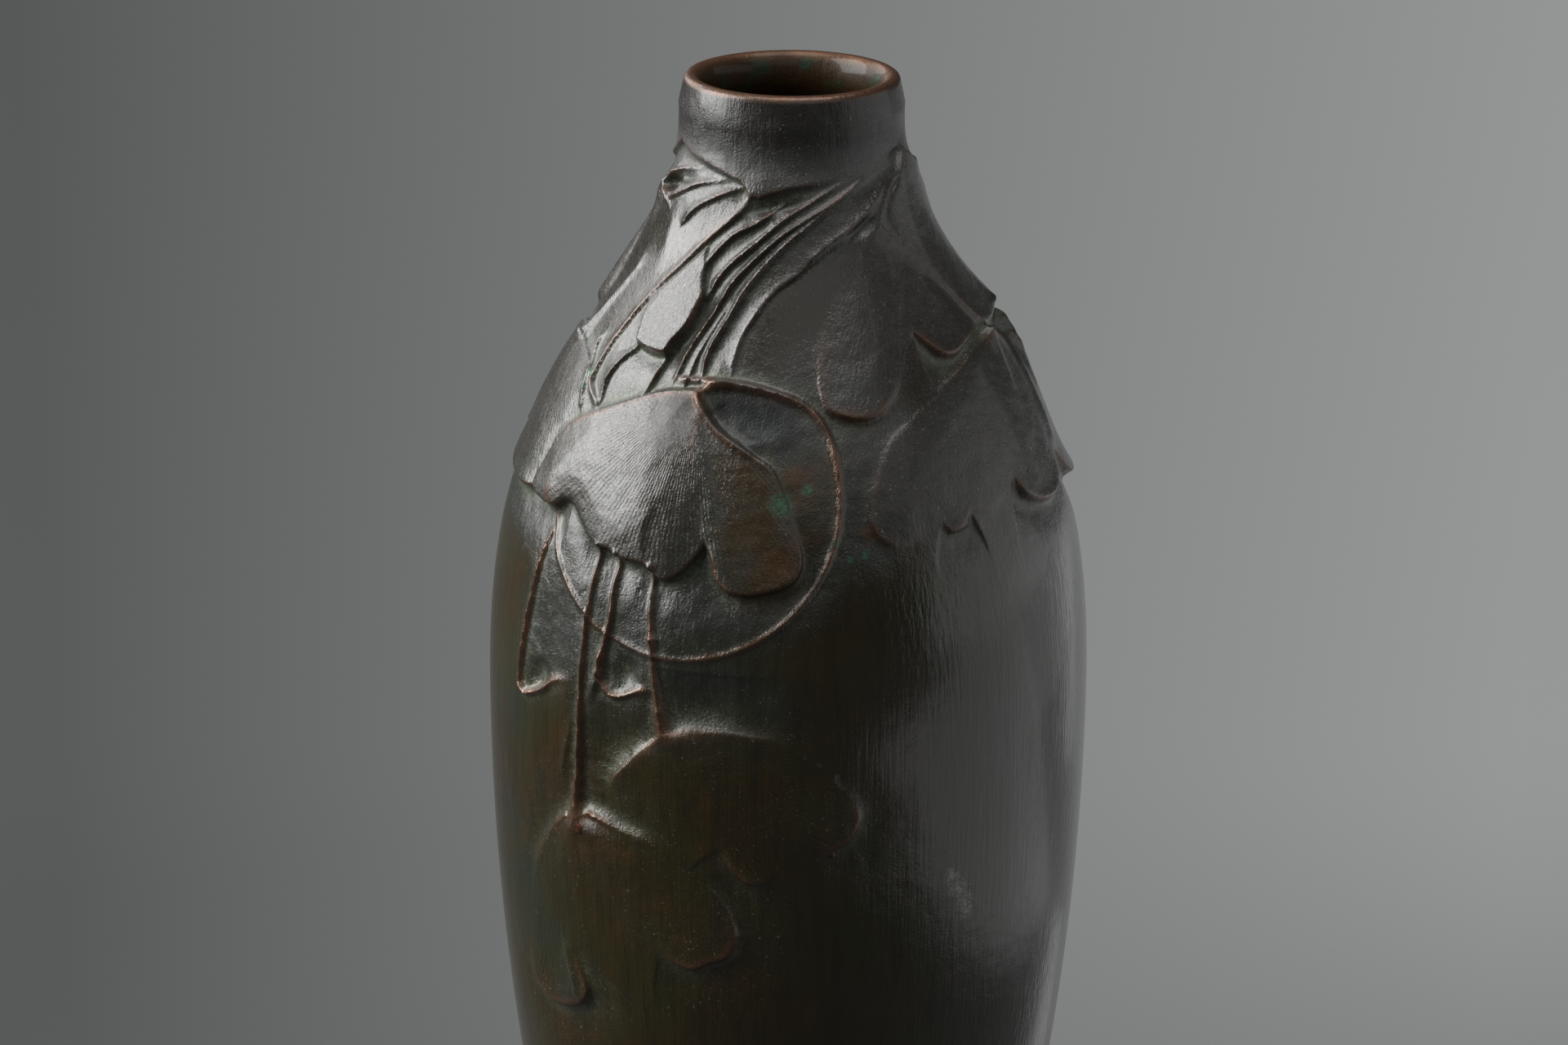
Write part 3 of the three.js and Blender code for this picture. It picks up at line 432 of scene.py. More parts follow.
ridge([(90, 214.5, 0.4, 1), (87, 209, 0.5, 1.2), (84, 202, 0.4, 1.4), (81.5, 195, 0.3, 1.4)],
      left=1.4, right=1.0)

# The plain ring, drawn as a circle is on paper and laid on the wall, and the ground cut back in it.
# It is pulled up a little at its upper right, and its upper left part is hidden by the leaf. A pit
# under its top has a soft lip below.
RING_AZIMUTH, RING_HEIGHT = -23.8, 191.7
RING_HALF_WIDTH, RING_HALF_HEIGHT = 28.6, 24.5
ring_points = []
for turn in np.radians(np.arange(0, 361, 8)):
    ring_height = np.interp(
        up_the_slope(RING_HEIGHT) + RING_HALF_HEIGHT * math.sin(turn), SLANT_LENGTHS, SLANT_HEIGHTS)
    ring_height += 2.4 * math.exp(-((math.degrees(turn) - 42.0) / 24.0) ** 2)
    sideways = np.degrees(RING_HALF_WIDTH * math.cos(turn) / radius_at(ring_height))
    under_the_leaf = 0.04 if 1.7 < turn < 3.2 else 1.0
    ring_rise = (0.5 + 0.2 * math.sin(turn + 0.6)) * under_the_leaf
    ring_points.append((RING_AZIMUTH + sideways, ring_height, ring_rise, 1.0 + 0.2 * math.sin(turn + 0.6)))
hollow(RING_AZIMUTH, RING_HEIGHT, RING_HALF_WIDTH, RING_HALF_HEIGHT, 0.6)
ridge(ring_points, left=0.56, right=0.5, power=2.2, dig_left=0.1, dig_right=0.1, dig_width=1.5, worn=0.75)
hollow(-10, 208.6, 8.0, 4.0, 0.65, turn=-8)
ridge([(-16, 204.9, 0.1, 1), (-12.6, 204.6, 0.3, 1), (-9.7, 204.4, 0.35, 1), (-6, 204.7, 0.25, 1),
       (-2, 205.6, 0.1, 1)], left=0.7, right=1.2, worn=0.2)
ridge([(-25, 211.4, 0.6, 0.8), (-21.5, 212.7, 0.9, 1.1), (-16, 213.3, 0.9, 1.15), (-9.2, 213.0, 0.7, 1.1),
       (-1.6, 211.7, 0.4, 1), (3.5, 209.6, 0.1, 0.9)], left=0.75, right=0.8, power=2.4, worn=0.75)

# The leaf that hangs over the ring: a shaded lobe on the right, and over it the broad lit part.
SHADED_LOBE = [
    (-22, 196, 0.1, 0), (-17.5, 189, 0.2, 0.1), (-15.4, 185.6, 0.7, 0.6), (-14.4, 182.6, 1.1, 1),
    (-12, 180.6, 1.2, 1), (-8, 180.1, 1.0, 0.8), (-4, 180.8, 0.9, 0.8), (-0.6, 181.8, 0.9, 0.8),
    (1.6, 183.6, 1.0, 0.8), (2.5, 186.6, 0.8, 0.5), (1.5, 190.5, 0.3, 0.1), (-1, 196.5, 0.1, 0),
    (-3.8, 200.8, 0.2, 0.1), (-7.7, 202.6, 0.5, 0.3), (-12.3, 204.6, 0.7, 0.5), (-17.5, 206.6, 0.8, 0.6),
    (-20.5, 208.6, 0.8, 0.7),
]
leaf((-23.7, 211.2, 0.8), SHADED_LOBE, body=0.5, veins=0.8, curl=3.5, crown=-0.2, rim=0.12,
     folds=((34, 8, -0.25), (18, 9, 0.12)), worn=0.5)
RING_LEAF = [
    (-26, 212, 0.7, 0.5), (-31.8, 211.4, 0.8, 0.6), (-37.7, 210.1, 0.9, 0.7), (-43.5, 208.3, 0.9, 0.8),
    (-49.4, 206.4, 0.9, 0.8), (-55.3, 204.2, 1.0, 0.8), (-59.8, 201.7, 1.0, 0.8), (-62.5, 198.2, 1.1, 0.8),
    (-64, 193.8, 1.4, 0.9), (-64.6, 190.4, 1.8, 1), (-62.6, 188.9, 1.8, 1), (-58.5, 188.2, 1.6, 1),
    (-55, 188.4, 1.3, 0.9), (-53, 189.8, 0.9, 0.5), (-50.5, 190.2, 0.65, 0.2), (-46.8, 187.8, 0.5, 0.1),
    (-44.2, 185.9, 0.5, 0.2), (-40.9, 184.6, 0.9, 0.7), (-37.7, 184.6, 1.2, 1), (-34.4, 183.5, 1.2, 1),
    (-30.5, 183.6, 1.1, 0.9), (-28.6, 183.3, 1.2, 1), (-27, 182.2, 1.3, 1), (-25.1, 181.3, 1.1, 0.8),
    (-23, 181.8, 0.7, 0.4), (-20, 184.2, 0.4, 0.1), (-17.4, 187.5, 0.4, 0), (-15.6, 191, 0.5, 0.05),
    (-16, 195.5, 0.6, 0.1), (-17.8, 199.6, 0.7, 0.15), (-19.8, 203.6, 0.7, 0.2), (-21.8, 207.2, 0.7, 0.3),
]
leaf((-23.7, 211.4, 0.9), RING_LEAF, body=0.55, curl=2.6, crown=0.5, rim=0.05, edge=0.18,
     folds=((-36, 30, 0.8), (-20, 9, 0.06), (4, 6, 0.05), (15, 13, -0.4)))
ridge([(-25.6, 200, 0.05, 1), (-26.6, 196.6, 0.2, 1), (-28.8, 192.8, 0.35, 1), (-30.1, 189.4, 0.4, 1),
       (-29.8, 186, 0.4, 1), (-28.2, 183.4, 0.3, 1)], left=0.9, right=2.4, power=1.7)
ridge([(-24.5, 212, 0.4, 0.9), (-23.2, 210.6, 0.8, 1.2), (-21.2, 208.6, 0.8, 1.1), (-18.2, 206.6, 0.7, 0.9),
       (-14, 204.6, 0.6, 0.8), (-8, 202.4, 0.3, 0.7), (-4, 200.6, 0.1, 0.7)],
      left=0.75, right=0.7, power=2.3, worn=0.9)

# The hanging stems, which pass over the ring, and the little cups at the ends of two of them. The
# ground is hollowed between them.
HANGING_STEM = {"left": 0.62, "right": 0.48, "dig_width": 0.8, "worn": 0.9}
hollow(-51, 166, 8.5, 15, 0.7)
hollow(-33, 167, 6.5, 12, 0.7)
hollow(-36, 149, 6.5, 11, 0.9, turn=-12)
hollow(-15, 161.5, 13, 6.5, 0.7, turn=4)
ridge([(-55.8, 184, 0.4, 0.8), (-57, 178.5, 0.7, 0.9), (-58.2, 172, 0.8, 0.95), (-59.4, 164, 0.9, 1),
       (-60.2, 158, 1.0, 1.1), (-59.9, 155, 1.1, 1.2), (-58.1, 153.7, 1.1, 1.1), (-55.3, 154.7, 0.9, 1.1),
       (-52.4, 156.2, 0.8, 1.2), (-49.8, 158.2, 0.5, 1.2), (-46.7, 159.4, 0.2, 1.2), (-44.5, 159.8, 0, 1.2)],
      dig_left=0.2, dig_right=0.1, **HANGING_STEM)
hollow(-54.5, 157.6, 3.2, 4.5, 0.9, turn=-25)
STEM_TO_THE_LOW_LEAF = [
    (-40.6, 184.6, 0.7, 0.8), (-40.9, 177.3, 0.8, 0.9), (-41.4, 168, 0.9, 0.95), (-41.6, 158, 1.0, 1.0),
    (-41.8, 150, 1.1, 1.15), (-42.1, 145, 1.1, 1.35), (-42.7, 140, 1.2, 1.8), (-43.1, 136.6, 1.2, 2.6),
    (-43, 134.3, 1.0, 3.2),
]
ridge(STEM_TO_THE_LOW_LEAF, dig_right=0.15, **HANGING_STEM)
ridge([(-35.7, 184.2, 0.6, 0.8), (-35.9, 178.5, 0.7, 0.9), (-35.8, 173.7, 0.8, 0.95),
       (-36.6, 168.6, 0.9, 1.1), (-37.3, 165.4, 1.3, 1.4), (-37.2, 162.6, 1.1, 1.3), (-36, 160.4, 1.0, 1.2),
       (-34, 159.4, 1.0, 1.1), (-31.6, 159.9, 0.8, 1.1), (-28.8, 161.2, 0.5, 1.1), (-25.6, 161.7, 0.1, 1.1)],
      dig_left=0.15, dig_right=0.1, **HANGING_STEM)
hollow(-31.6, 163.6, 3.4, 3.8, 0.9)
ridge([(-37.4, 163, 0.7, 1.2), (-38.3, 160.6, 0.6, 1.3), (-39.6, 157.4, 0.2, 1.4)], dig_left=0.2)
STEM_TO_THE_LEANING_LEAF = [
    (-27.5, 183.4, 0.6, 0.8), (-27.3, 177.3, 0.7, 0.9), (-26.7, 172.4, 0.8, 0.95), (-26.4, 170.8, 1.2, 1.3),
    (-26.1, 169, 0.8, 1.1), (-25.4, 164.5, 0.9, 1.1), (-24.6, 160, 1.0, 1.5), (-23.9, 156.8, 1.1, 2.2),
    (-23.5, 154.6, 1.0, 3.0),
]
ridge(STEM_TO_THE_LEANING_LEAF, dig_left=0.1, dig_right=0.15, **HANGING_STEM)

# The leaf that leans to the right on the belly. The ground dips to its upper edge. Both leaves on the
# belly are nearly level with the wall in the middle and curl up at their tips.
BELLY_LEAF = {"body": 0.05, "veins": 0.7, "curl": 5.0, "rim": 0.05}
LEANING_FOLDS = ((30, 9, -0.2), (52, 8, 0.2), (14, 7, 0.2))
LEANING_LEAF = [
    (-27.3, 151, 0.6, 0.9), (-31, 147.4, 0.4, 0.8), (-34.4, 143.6, 0.15, 0.4), (-33, 140, 0, 0),
    (-26, 139, 0, 0), (-18, 137, 0, 0), (-12.5, 135, 0.1, 0), (-11.2, 132.6, 0.4, 0.3),
    (-10.3, 130.4, 0.7, 0.5), (-8.6, 128.7, 0.9, 0.7), (-6.6, 127.7, 0.8, 0.6), (-4, 128.4, 0.3, 0.1),
    (0, 131.6, 0, 0), (5, 133.6, 0.1, 0), (8.4, 134.5, 0.7, 0.4), (11.2, 136, 0.8, 0.5),
    (13.2, 139.6, 0.6, 0.4), (12.4, 143.6, 0.1, 0.1), (10, 147.5, 0, 0), (5.9, 151, 0, 0),
    (0.5, 153.8, 0.05, 0.2), (-4.5, 155.1, 0.15, 0.5), (-11, 155.8, 0.3, 0.9), (-17.5, 155.6, 0.5, 1.1),
    (-20.6, 155.2, 0.8, 1),
]
leaf((-23.5, 154.4, 1.0), LEANING_LEAF, dig_width=2.4, folds=LEANING_FOLDS, worn=0.8, **BELLY_LEAF)

# The leaf that droops at the bottom left.
DROOPING_FOLDS = ((-14, 7, -0.3), (18, 9, -0.2), (36, 8, 0.2))
DROOPING_LEAF = [
    (-46, 133.8, 0.6, 0.6), (-48.6, 131.8, 0.4, 0.6), (-52.1, 127.4, 0.25, 0.5), (-55, 123.4, 0.15, 0.4),
    (-57.3, 117.5, 0.05, 0.2), (-59, 111, 0, 0), (-61, 103, 0.1, 0), (-59.6, 97.6, 0.4, 0.3),
    (-55.5, 94.9, 0.6, 0.4), (-50, 95, 0.7, 0.5), (-45.3, 96.4, 1.0, 0.7), (-42.6, 98.6, 1.1, 0.8),
    (-42, 100.9, 0.9, 0.5), (-43.8, 104.8, 0.4, 0.2), (-43, 108.5, 0, 0), (-33, 110, 0, 0),
    (-25.5, 112.4, 0.1, 0), (-21.8, 110.9, 0.6, 0.4), (-18, 110, 0.9, 0.6), (-14.6, 111.7, 0.8, 0.6),
    (-11, 113.4, 0.9, 0.6), (-9.4, 117.6, 0.6, 0.5), (-10.8, 122, 0.2, 0.2), (-15, 127, 0, 0),
    (-21, 131, 0, 0.1), (-25.8, 133.2, 0.1, 0.4), (-31, 134.2, 0.3, 0.8), (-36.8, 135.6, 0.6, 1),
    (-39.6, 136.2, 0.9, 1),
]
leaf((-43, 134.2, 1.0), DROOPING_LEAF, dig_width=2.2, folds=DROOPING_FOLDS, worn=0.8, **BELLY_LEAF)
ridge([(-48.4, 110, 0.1, 1), (-47.4, 107, 0.5, 1.2), (-46, 103, 0.6, 1.3), (-44.8, 98.5, 0.5, 1.3)],
      left=1.4, right=0.4, power=1.5)
ridge([(-44, 153, 0.15, 1), (-45.2, 148, 0.3, 1.2), (-46.7, 142, 0.2, 1.2)])

# The same plant goes on round the back, in moved and mirrored copies of what is on the front.
BACK_STRAND = {"left": 1.0, "right": 0.6, "power": 1.2, "dig_right": 0.2, "dig_width": 0.9}
BACK_LEAF = {"body": 0.2, "veins": 0.7, "curl": 4.0, "crown": 0.3}
BACK_STEM = {"left": 0.68, "right": 0.66, "power": 2.4, "dig_width": 1.0}
leaf((-23.7 + 170, 210.4, 0.9), moved(RING_LEAF, 170, -1), body=0.8, curl=2.6, crown=0.5, rim=0.05,
     folds=((-52, 14, 0.12), (-36, 8, -0.06), (-20, 9, 0.12), (3, 7, 0.12)))
for strand in (moved(STRANDS[2], 140), moved(STRANDS[3], 140), mirrored(STRANDS[3], 205)):
    ridge(strand, **BACK_STRAND)
leaf((202 - 39.8, 238.2, 0.75), mirrored(SHOULDER_LEAF, 202),
     folds=((-8, 9, -0.35), (14, 12, 0.2), (-32, 12, 0.2)), **BACK_LEAF)
leaf((-101 - 74.3, 215.6, 0.8), mirrored(FLANK_LEAF, -101),
     folds=((12, 8, -0.3), (38, 9, 0.2), (-14, 9, 0.25)), **BACK_LEAF)
ridge([(-101 - 74.6, 216.2, 1.4, 2), (-101 - 71.5, 220.3, 0.6, 1.2), (-101 - 66, 225.6, 0.2, 1)])
ridge(moved(STEM_TO_THE_LEANING_LEAF, 134), dig_right=0.35, **BACK_STEM)
leaf((-23.5 + 134, 154.4, 1.0), moved(LEANING_LEAF, 134), dig_width=2.4, folds=LEANING_FOLDS, **BELLY_LEAF)
ridge(moved(STEM_TO_THE_LOW_LEAF, -117, -3), dig_right=0.3, **BACK_STEM)
leaf((-43 - 117, 131.2, 1.0), moved(DROOPING_LEAF, -117, -3), dig_width=2.2, folds=DROOPING_FOLDS,
     **BELLY_LEAF)

# The collar covers the tops of the strands, and its swelling fades towards the lip.
to_the_lip = np.clip((LIP_TOP - 2.5 - chart_heights) / 9.0, 0.0, 1.0)[:, None]
collar = 0.5 + 0.5 * np.tanh(above_hem / 0.2)
proud_here = COLLAR_PROUD * (0.15 + 0.85 * hem_strength) * to_the_lip
relief += collar * (waist + proud_here - relief)


def blurred(chart, radius):
    """The chart smoothed over a radius in mm, round the vase and up it."""
    reach = math.ceil(2.5 * radius / CHART_STEP)
    offsets = np.arange(-reach, reach + 1)
    weights = np.exp(-((offsets * CHART_STEP / radius) ** 2))
    weights /= weights.sum()
    around = sum(w * np.roll(chart, k, axis=1) for k, w in zip(offsets, weights))
    padded = np.pad(around, ((reach, reach), (0, 0)), mode="edge")
    return sum(w * padded[reach + k:reach + k + len(chart)] for k, w in zip(offsets, weights))


# Handling has softened every edge a little, and the relief dies out at the foot of the chart. Crests
# are worn, hollows hold dust, and the rougher cast skin is kept near the relief.
relief = blurred(relief, 0.17)
fade_at_the_bottom = np.clip((chart_heights - chart_heights[0]) / 6.0, 0.0, 1.0)
relief *= fade_at_the_bottom[:, None]
wear_chart = np.clip((relief - blurred(relief, 0.8) - 0.08) / 0.25, 0.0, 1.0)
wear_chart = np.maximum(0.5 * wear_chart, bare * (0.5 + 0.5 * np.clip(relief / 0.4, 0.0, 1.0)))
hollow_chart = np.clip((blurred(relief, 1.8) - relief - 0.03) / 0.3, 0.0, 1.0)
skin_chart = np.clip(1.5 * blurred(np.clip(np.abs(relief) / 0.3, 0.0, 1.0), 4.0), 0.0, 1.0)


def on_chart(chart, azimuth, height, beyond=0.0):
    """The chart's value at places between its points."""
    column = (azimuth + 180.0) * COLUMNS / 360.0
    row = (height - chart_heights[0]) / CHART_STEP
    left, low = np.floor(column).astype(int), np.clip(np.floor(row).astype(int), 0, len(chart) - 2)
    right, up = column - left, np.clip(row - low, 0.0, 1.0)
    left, after = left % COLUMNS, (left + 1) % COLUMNS
    value = (
        (chart[low, left] * (1 - right) + chart[low, after] * right) * (1 - up)
        + (chart[low + 1, left] * (1 - right) + chart[low + 1, after] * right) * up
    )
    return np.where((row < 0) | (row > len(chart) - 1), beyond, value)


# The edge length that the mesh needs to follow the relief within the error allowed: short where the
# relief bends sharply, and longer again at a steady rate around such places and round the back.
FINEST_EDGE, COARSEST_EDGE = 0.25, 3.2
ERROR_ALLOWED = 0.025
EDGE_GROWTH = 0.6
GROWTH_ROUNDS = 30
BACK_STARTS = 102.0
round_the_back = np.clip((np.abs(chart_azimuths) - BACK_STARTS) / 20.0, 0.0, 1.0)
around_step = np.maximum(radius_at(chart_heights) * math.radians(360.0 / COLUMNS), 0.2)[:, None]
bend = np.abs(np.roll(relief, 1, 1) + np.roll(relief, -1, 1) - 2 * relief) / around_step**2
bend[1:-1] += np.abs(relief[2:] + relief[:-2] - 2 * relief[1:-1]) / CHART_STEP**2
edge_needed = np.clip(
    np.sqrt(8 * ERROR_ALLOWED * (1 + 3 * round_the_back) / np.maximum(bend, 1e-6)),
    FINEST_EDGE * (1 + round_the_back), COARSEST_EDGE)
for _ in range(GROWTH_ROUNDS):
    for shift, axis in ((1, 0), (-1, 0), (1, 1), (-1, 1)):
        neighbour = np.roll(edge_needed, shift, axis)
        edge_needed = np.minimum(edge_needed, neighbour + EDGE_GROWTH * CHART_STEP)

# The section of the wall: up the outside, over the lip, down the bore and round the plate's seat,
# which is a rebate below a ledge.
MM = 0.001
WALL = 3.0
LIP_ROUND, LIP_LAND = 1.3, 0.3
MOUTH_RADIUS, MOUTH_DEPTH = 15.6, 5.0
FOOT_ROUND = 1.0
PLATE_RADIUS, PLATE_THICKNESS, PLATE_RECESS = 29.2, 2.5, 2.0
LEDGE_WIDTH, LEDGE_THICKNESS = 2.6, 2.5
FIT_GAP = 0.3
ledge_bottom = PLATE_RECESS + PLATE_THICKNESS + FIT_GAP
ledge_top = ledge_bottom + LEDGE_THICKNESS
rebate_radius = PLATE_RADIUS + FIT_GAP
throat = LIP_TOP - MOUTH_DEPTH
lip_centre = OUTLINE[-1, 1] - LIP_ROUND
section = [(rebate_radius, 0.0), (OUTLINE[0, 1] - FOOT_ROUND, 0.0)]
section += [(float(radius_at(FOOT_ROUND)) - 0.3, 0.25), (float(radius_at(FOOT_ROUND)), FOOT_ROUND)]
for h in np.concatenate((np.arange(4.0, CHART_BOTTOM, 4.0), np.arange(CHART_BOTTOM, CHART_TOP, 3.0))):
    section.append((float(radius_at(h)), float(h)))
for turn in np.radians((0, 22, 45, 67, 90)):
    section.append((lip_centre + LIP_ROUND * math.cos(turn),
                    LIP_TOP - LIP_ROUND + LIP_ROUND * math.sin(turn)))
mouth_centre = lip_centre - LIP_LAND
for turn in np.radians((90, 74, 58, 42, 26, 12, 0)):
    section.append((mouth_centre - (mouth_centre - MOUTH_RADIUS) * math.cos(turn),
                    throat + MOUTH_DEPTH * math.sin(turn)))
section.append((MOUTH_RADIUS + 0.2, throat - 2.0))
for h in np.arange(throat - 5.0, ledge_top + 3.0, -7.0):
    slant = math.hypot(1.0, float(flare_at(h)))
    section.append((float(radius_at(h)) - WALL * slant, float(h)))
section += [
    (float(radius_at(ledge_top)) - WALL * 1.05, ledge_top),
    (rebate_radius - LEDGE_WIDTH, ledge_top),
    (rebate_radius - LEDGE_WIDTH, ledge_bottom),
    (rebate_radius, ledge_bottom),
]


def deselect_all():
    for each in bpy.context.selected_objects:
        each.select_set(False)


def spin_section(name, points, steps):
    """A turned body: one corner of a plane is drawn out along the section, and the line is spun."""
    deselect_all()
    r, h = points[0]
    bpy.ops.mesh.primitive_plane_add(size=MM, location=(0, 0, 0))
    piece = bpy.context.active_object
    piece.name = name
    bpy.context.tool_settings.mesh_select_mode = (True, False, False)
    bpy.ops.object.mode_set(mode="EDIT")
    bpy.ops.mesh.select_all(action="SELECT")
    bpy.ops.mesh.merge(type="CENTER")
    bpy.ops.transform.translate(value=(r * MM, 0, h * MM))
    for (r0, h0), (r1, h1) in zip(points, points[1:]):
        step = ((r1 - r0) * MM, 0, (h1 - h0) * MM)
        bpy.ops.mesh.extrude_region_move(TRANSFORM_OT_translate={"value": step})
    bpy.ops.mesh.select_all(action="SELECT")
    bpy.ops.mesh.spin(steps=steps, angle=math.tau, center=(0, 0, 0), axis=(0, 0, 1))
    bpy.ops.mesh.select_all(action="SELECT")
    bpy.ops.mesh.remove_doubles(threshold=0.00001)
    bpy.ops.mesh.normals_make_consistent(inside=False)
    bpy.ops.object.mode_set(mode="OBJECT")
    return piece


def mesh_places(mesh):
    places = np.empty(len(mesh.vertices) * 3)
    mesh.vertices.foreach_get("co", places)
    return places.reshape(-1, 3) / MM


def chart_places(places):
    """The azimuth and height of places near the outside of the wall, and which of them are."""
    azimuth = np.degrees(np.arctan2(places[:, 0], -places[:, 1]))
    height = places[:, 2]
    radius = np.hypot(places[:, 0], places[:, 1])
    near_the_outside = radius > radius_at(height) - 0.45 * WALL
    outside = near_the_outside & (height > FOOT_ROUND + 0.5) & (height < CHART_TOP + 0.2)
    return azimuth, height, outside


# The turned form is spun, and its long edges are halved until it can follow the relief. Then its
# outside is moved onto the relief.
VASE_STEPS = 128
MOST_HALVINGS = 5
EDGE_SLACK = 1.35
vase = spin_section("bronze_casting", section + section[:1], VASE_STEPS)
bpy.ops.object.mode_set(mode="EDIT")
bpy.ops.mesh.quads_convert_to_tris(quad_method="FIXED", ngon_method="BEAUTY")
bpy.ops.object.mode_set(mode="OBJECT")
for _ in range(MOST_HALVINGS):
    mesh = vase.data
    places = mesh_places(mesh)
    ends = np.empty(len(mesh.edges) * 2, dtype=np.int32)
    mesh.edges.foreach_get("vertices", ends)
    first, second = places[ends[0::2]], places[ends[1::2]]
    length = np.linalg.norm(first - second, axis=1)
    azimuth, height, outside = chart_places((first + second) / 2)
    longest = EDGE_SLACK * on_chart(edge_needed, azimuth, height, COARSEST_EDGE * 2)
    too_long = outside & (length > longest)
    if not too_long.any():
        break
    mesh.vertices.foreach_set("select", np.zeros(len(mesh.vertices), bool))
    mesh.polygons.foreach_set("select", np.zeros(len(mesh.polygons), bool))
    mesh.edges.foreach_set("select", too_long)
    bpy.context.tool_settings.mesh_select_mode = (False, True, False)
    bpy.ops.object.mode_set(mode="EDIT")
    bpy.ops.mesh.subdivide(number_cuts=1, ngon=False)
    bpy.ops.mesh.select_all(action="SELECT")
    bpy.ops.mesh.quads_convert_to_tris(quad_method="SHORTEST_DIAGONAL", ngon_method="BEAUTY")
    bpy.ops.object.mode_set(mode="OBJECT")

mesh = vase.data
places = mesh_places(mesh)
azimuth, height, outside = chart_places(places)
lift = on_chart(relief, azimuth, height)
places[outside] = on_vase(azimuth[outside], height[outside], lift[outside])
mesh.vertices.foreach_set("co", (places * MM).ravel())
mesh.update()
radius = np.hypot(places[:, 0], places[:, 1])
lip_wear = np.clip(1.0 - np.abs(height - LIP_TOP) / 1.2, 0.0, 1.0)
in_mouth = np.clip((OUTLINE[-1, 1] - 1.2 - radius) / 0.8, 0.0, 1.0) * (height > 200.0)
values_on_the_mesh = {
    "wear": np.where(outside, on_chart(wear_chart, azimuth, height), lip_wear),
    "hollow": np.where(outside, on_chart(hollow_chart, azimuth, height), 0.0),
    "skin": np.where(outside, on_chart(skin_chart, azimuth, height), 0.3),
    "mouth": np.where(outside, 0.0, in_mouth),
    "vein_across": np.where(outside, on_chart(vein_across, azimuth, height), 0.0),
    "vein_depth": np.where(outside, on_chart(vein_depth, azimuth, height), 0.0),
}
for name, values in values_on_the_mesh.items():
    mesh.attributes.new(name, "FLOAT", "POINT").data.foreach_set("value", values.astype(np.float32))
deselect_all()
vase.select_set(True)
bpy.context.view_layer.objects.active = vase
bpy.ops.object.shade_smooth_by_angle(angle=math.radians(50))


def linear(colour):
    """An sRGB hex colour as the linear colour that a socket takes."""
    parts = [int(colour[k:k + 2], 16) / 255 for k in (1, 3, 5)]
    return (*[p / 12.92 if p <= 0.04045 else ((p + 0.055) / 1.055) ** 2.4 for p in parts], 1.0)


def add_node(tree, kind, inputs=(), operation=None, **settings):
    """A shader node with its settings. Its inputs are given by name, or in the order of its sockets,
    and each is set to a value, or linked from a node or a socket."""
    node = tree.nodes.new("ShaderNode" + kind)
    if operation:
        node.operation = operation
    for name, value in settings.items():
        setattr(node, name, value)
    sockets = [s for s in node.inputs if s.enabled]
    for name, value in inputs.items() if isinstance(inputs, dict) else enumerate(inputs):
        socket = sockets[name] if isinstance(name, int) else next(s for s in sockets if s.name == name)
        if isinstance(value, bpy.types.Node):
            value = next(s for s in value.outputs if s.enabled)
        if isinstance(value, bpy.types.NodeSocket):
            tree.links.new(value, socket)
        else:
            socket.default_value = value
    return node


def new_material(name):
    """A material with an empty tree, to which the place on the piece in mm is added."""
    material = bpy.data.materials.new(name)
    material.use_nodes = True
    tree = material.node_tree
    tree.nodes.clear()
    place = add_node(tree, "TexCoord").outputs["Object"]
    mm = add_node(tree, "Mapping", {"Vector": place, "Scale": (1 / MM, 1 / MM, 1 / MM)})
    return material, tree, mm


# Bronze with a dark chemical patina under wax: olive brown, slate grey on the right and between the
# stems, with green dust in the hollows and reddish metal on the worn crests. The wax gives it the
# soft grey highlights. Each noise's scale is one over the size of its grain in mm. A MapRange is
# given its value, the range that comes in and, unless it is 0 to 1, the range that goes out.
bronze, tree, mm = new_material("patinated_bronze")
axes = add_node(tree, "SeparateXYZ", (mm,))
to_the_side, up = axes.outputs["X"], axes.outputs["Z"]
wear, hollows, skin, mouth, across, depth = (
    add_node(tree, "Attribute", attribute_name=name).outputs["Fac"] for name in values_on_the_mesh)
cloud = add_node(tree, "TexNoise", {"Vector": mm, "Scale": 1 / 24, "Detail": 4.0})
mottle = add_node(tree, "TexNoise", {"Vector": mm, "Scale": 1 / 6, "Detail": 5.0, "Roughness": 0.65})
speckle = add_node(tree, "TexNoise", {"Vector": mm, "Scale": 1 / 0.6, "Detail": 2.0})

# Veins of the leaves, which fan out from the stalk and waver a little.
VEIN_GAP = 0.8
waver = add_node(tree, "TexNoise", {"Vector": mm, "Scale": 1 / 9, "Detail": 1.0})
vein_phase = add_node(tree, "Math", (waver, 1.2, across), "MULTIPLY_ADD")
vein_phase = add_node(tree, "Math", (vein_phase, math.tau / VEIN_GAP), "MULTIPLY")
veins = add_node(tree, "Math", (vein_phase,), "SINE")
veins = add_node(tree, "Math", (veins, depth), "MULTIPLY")

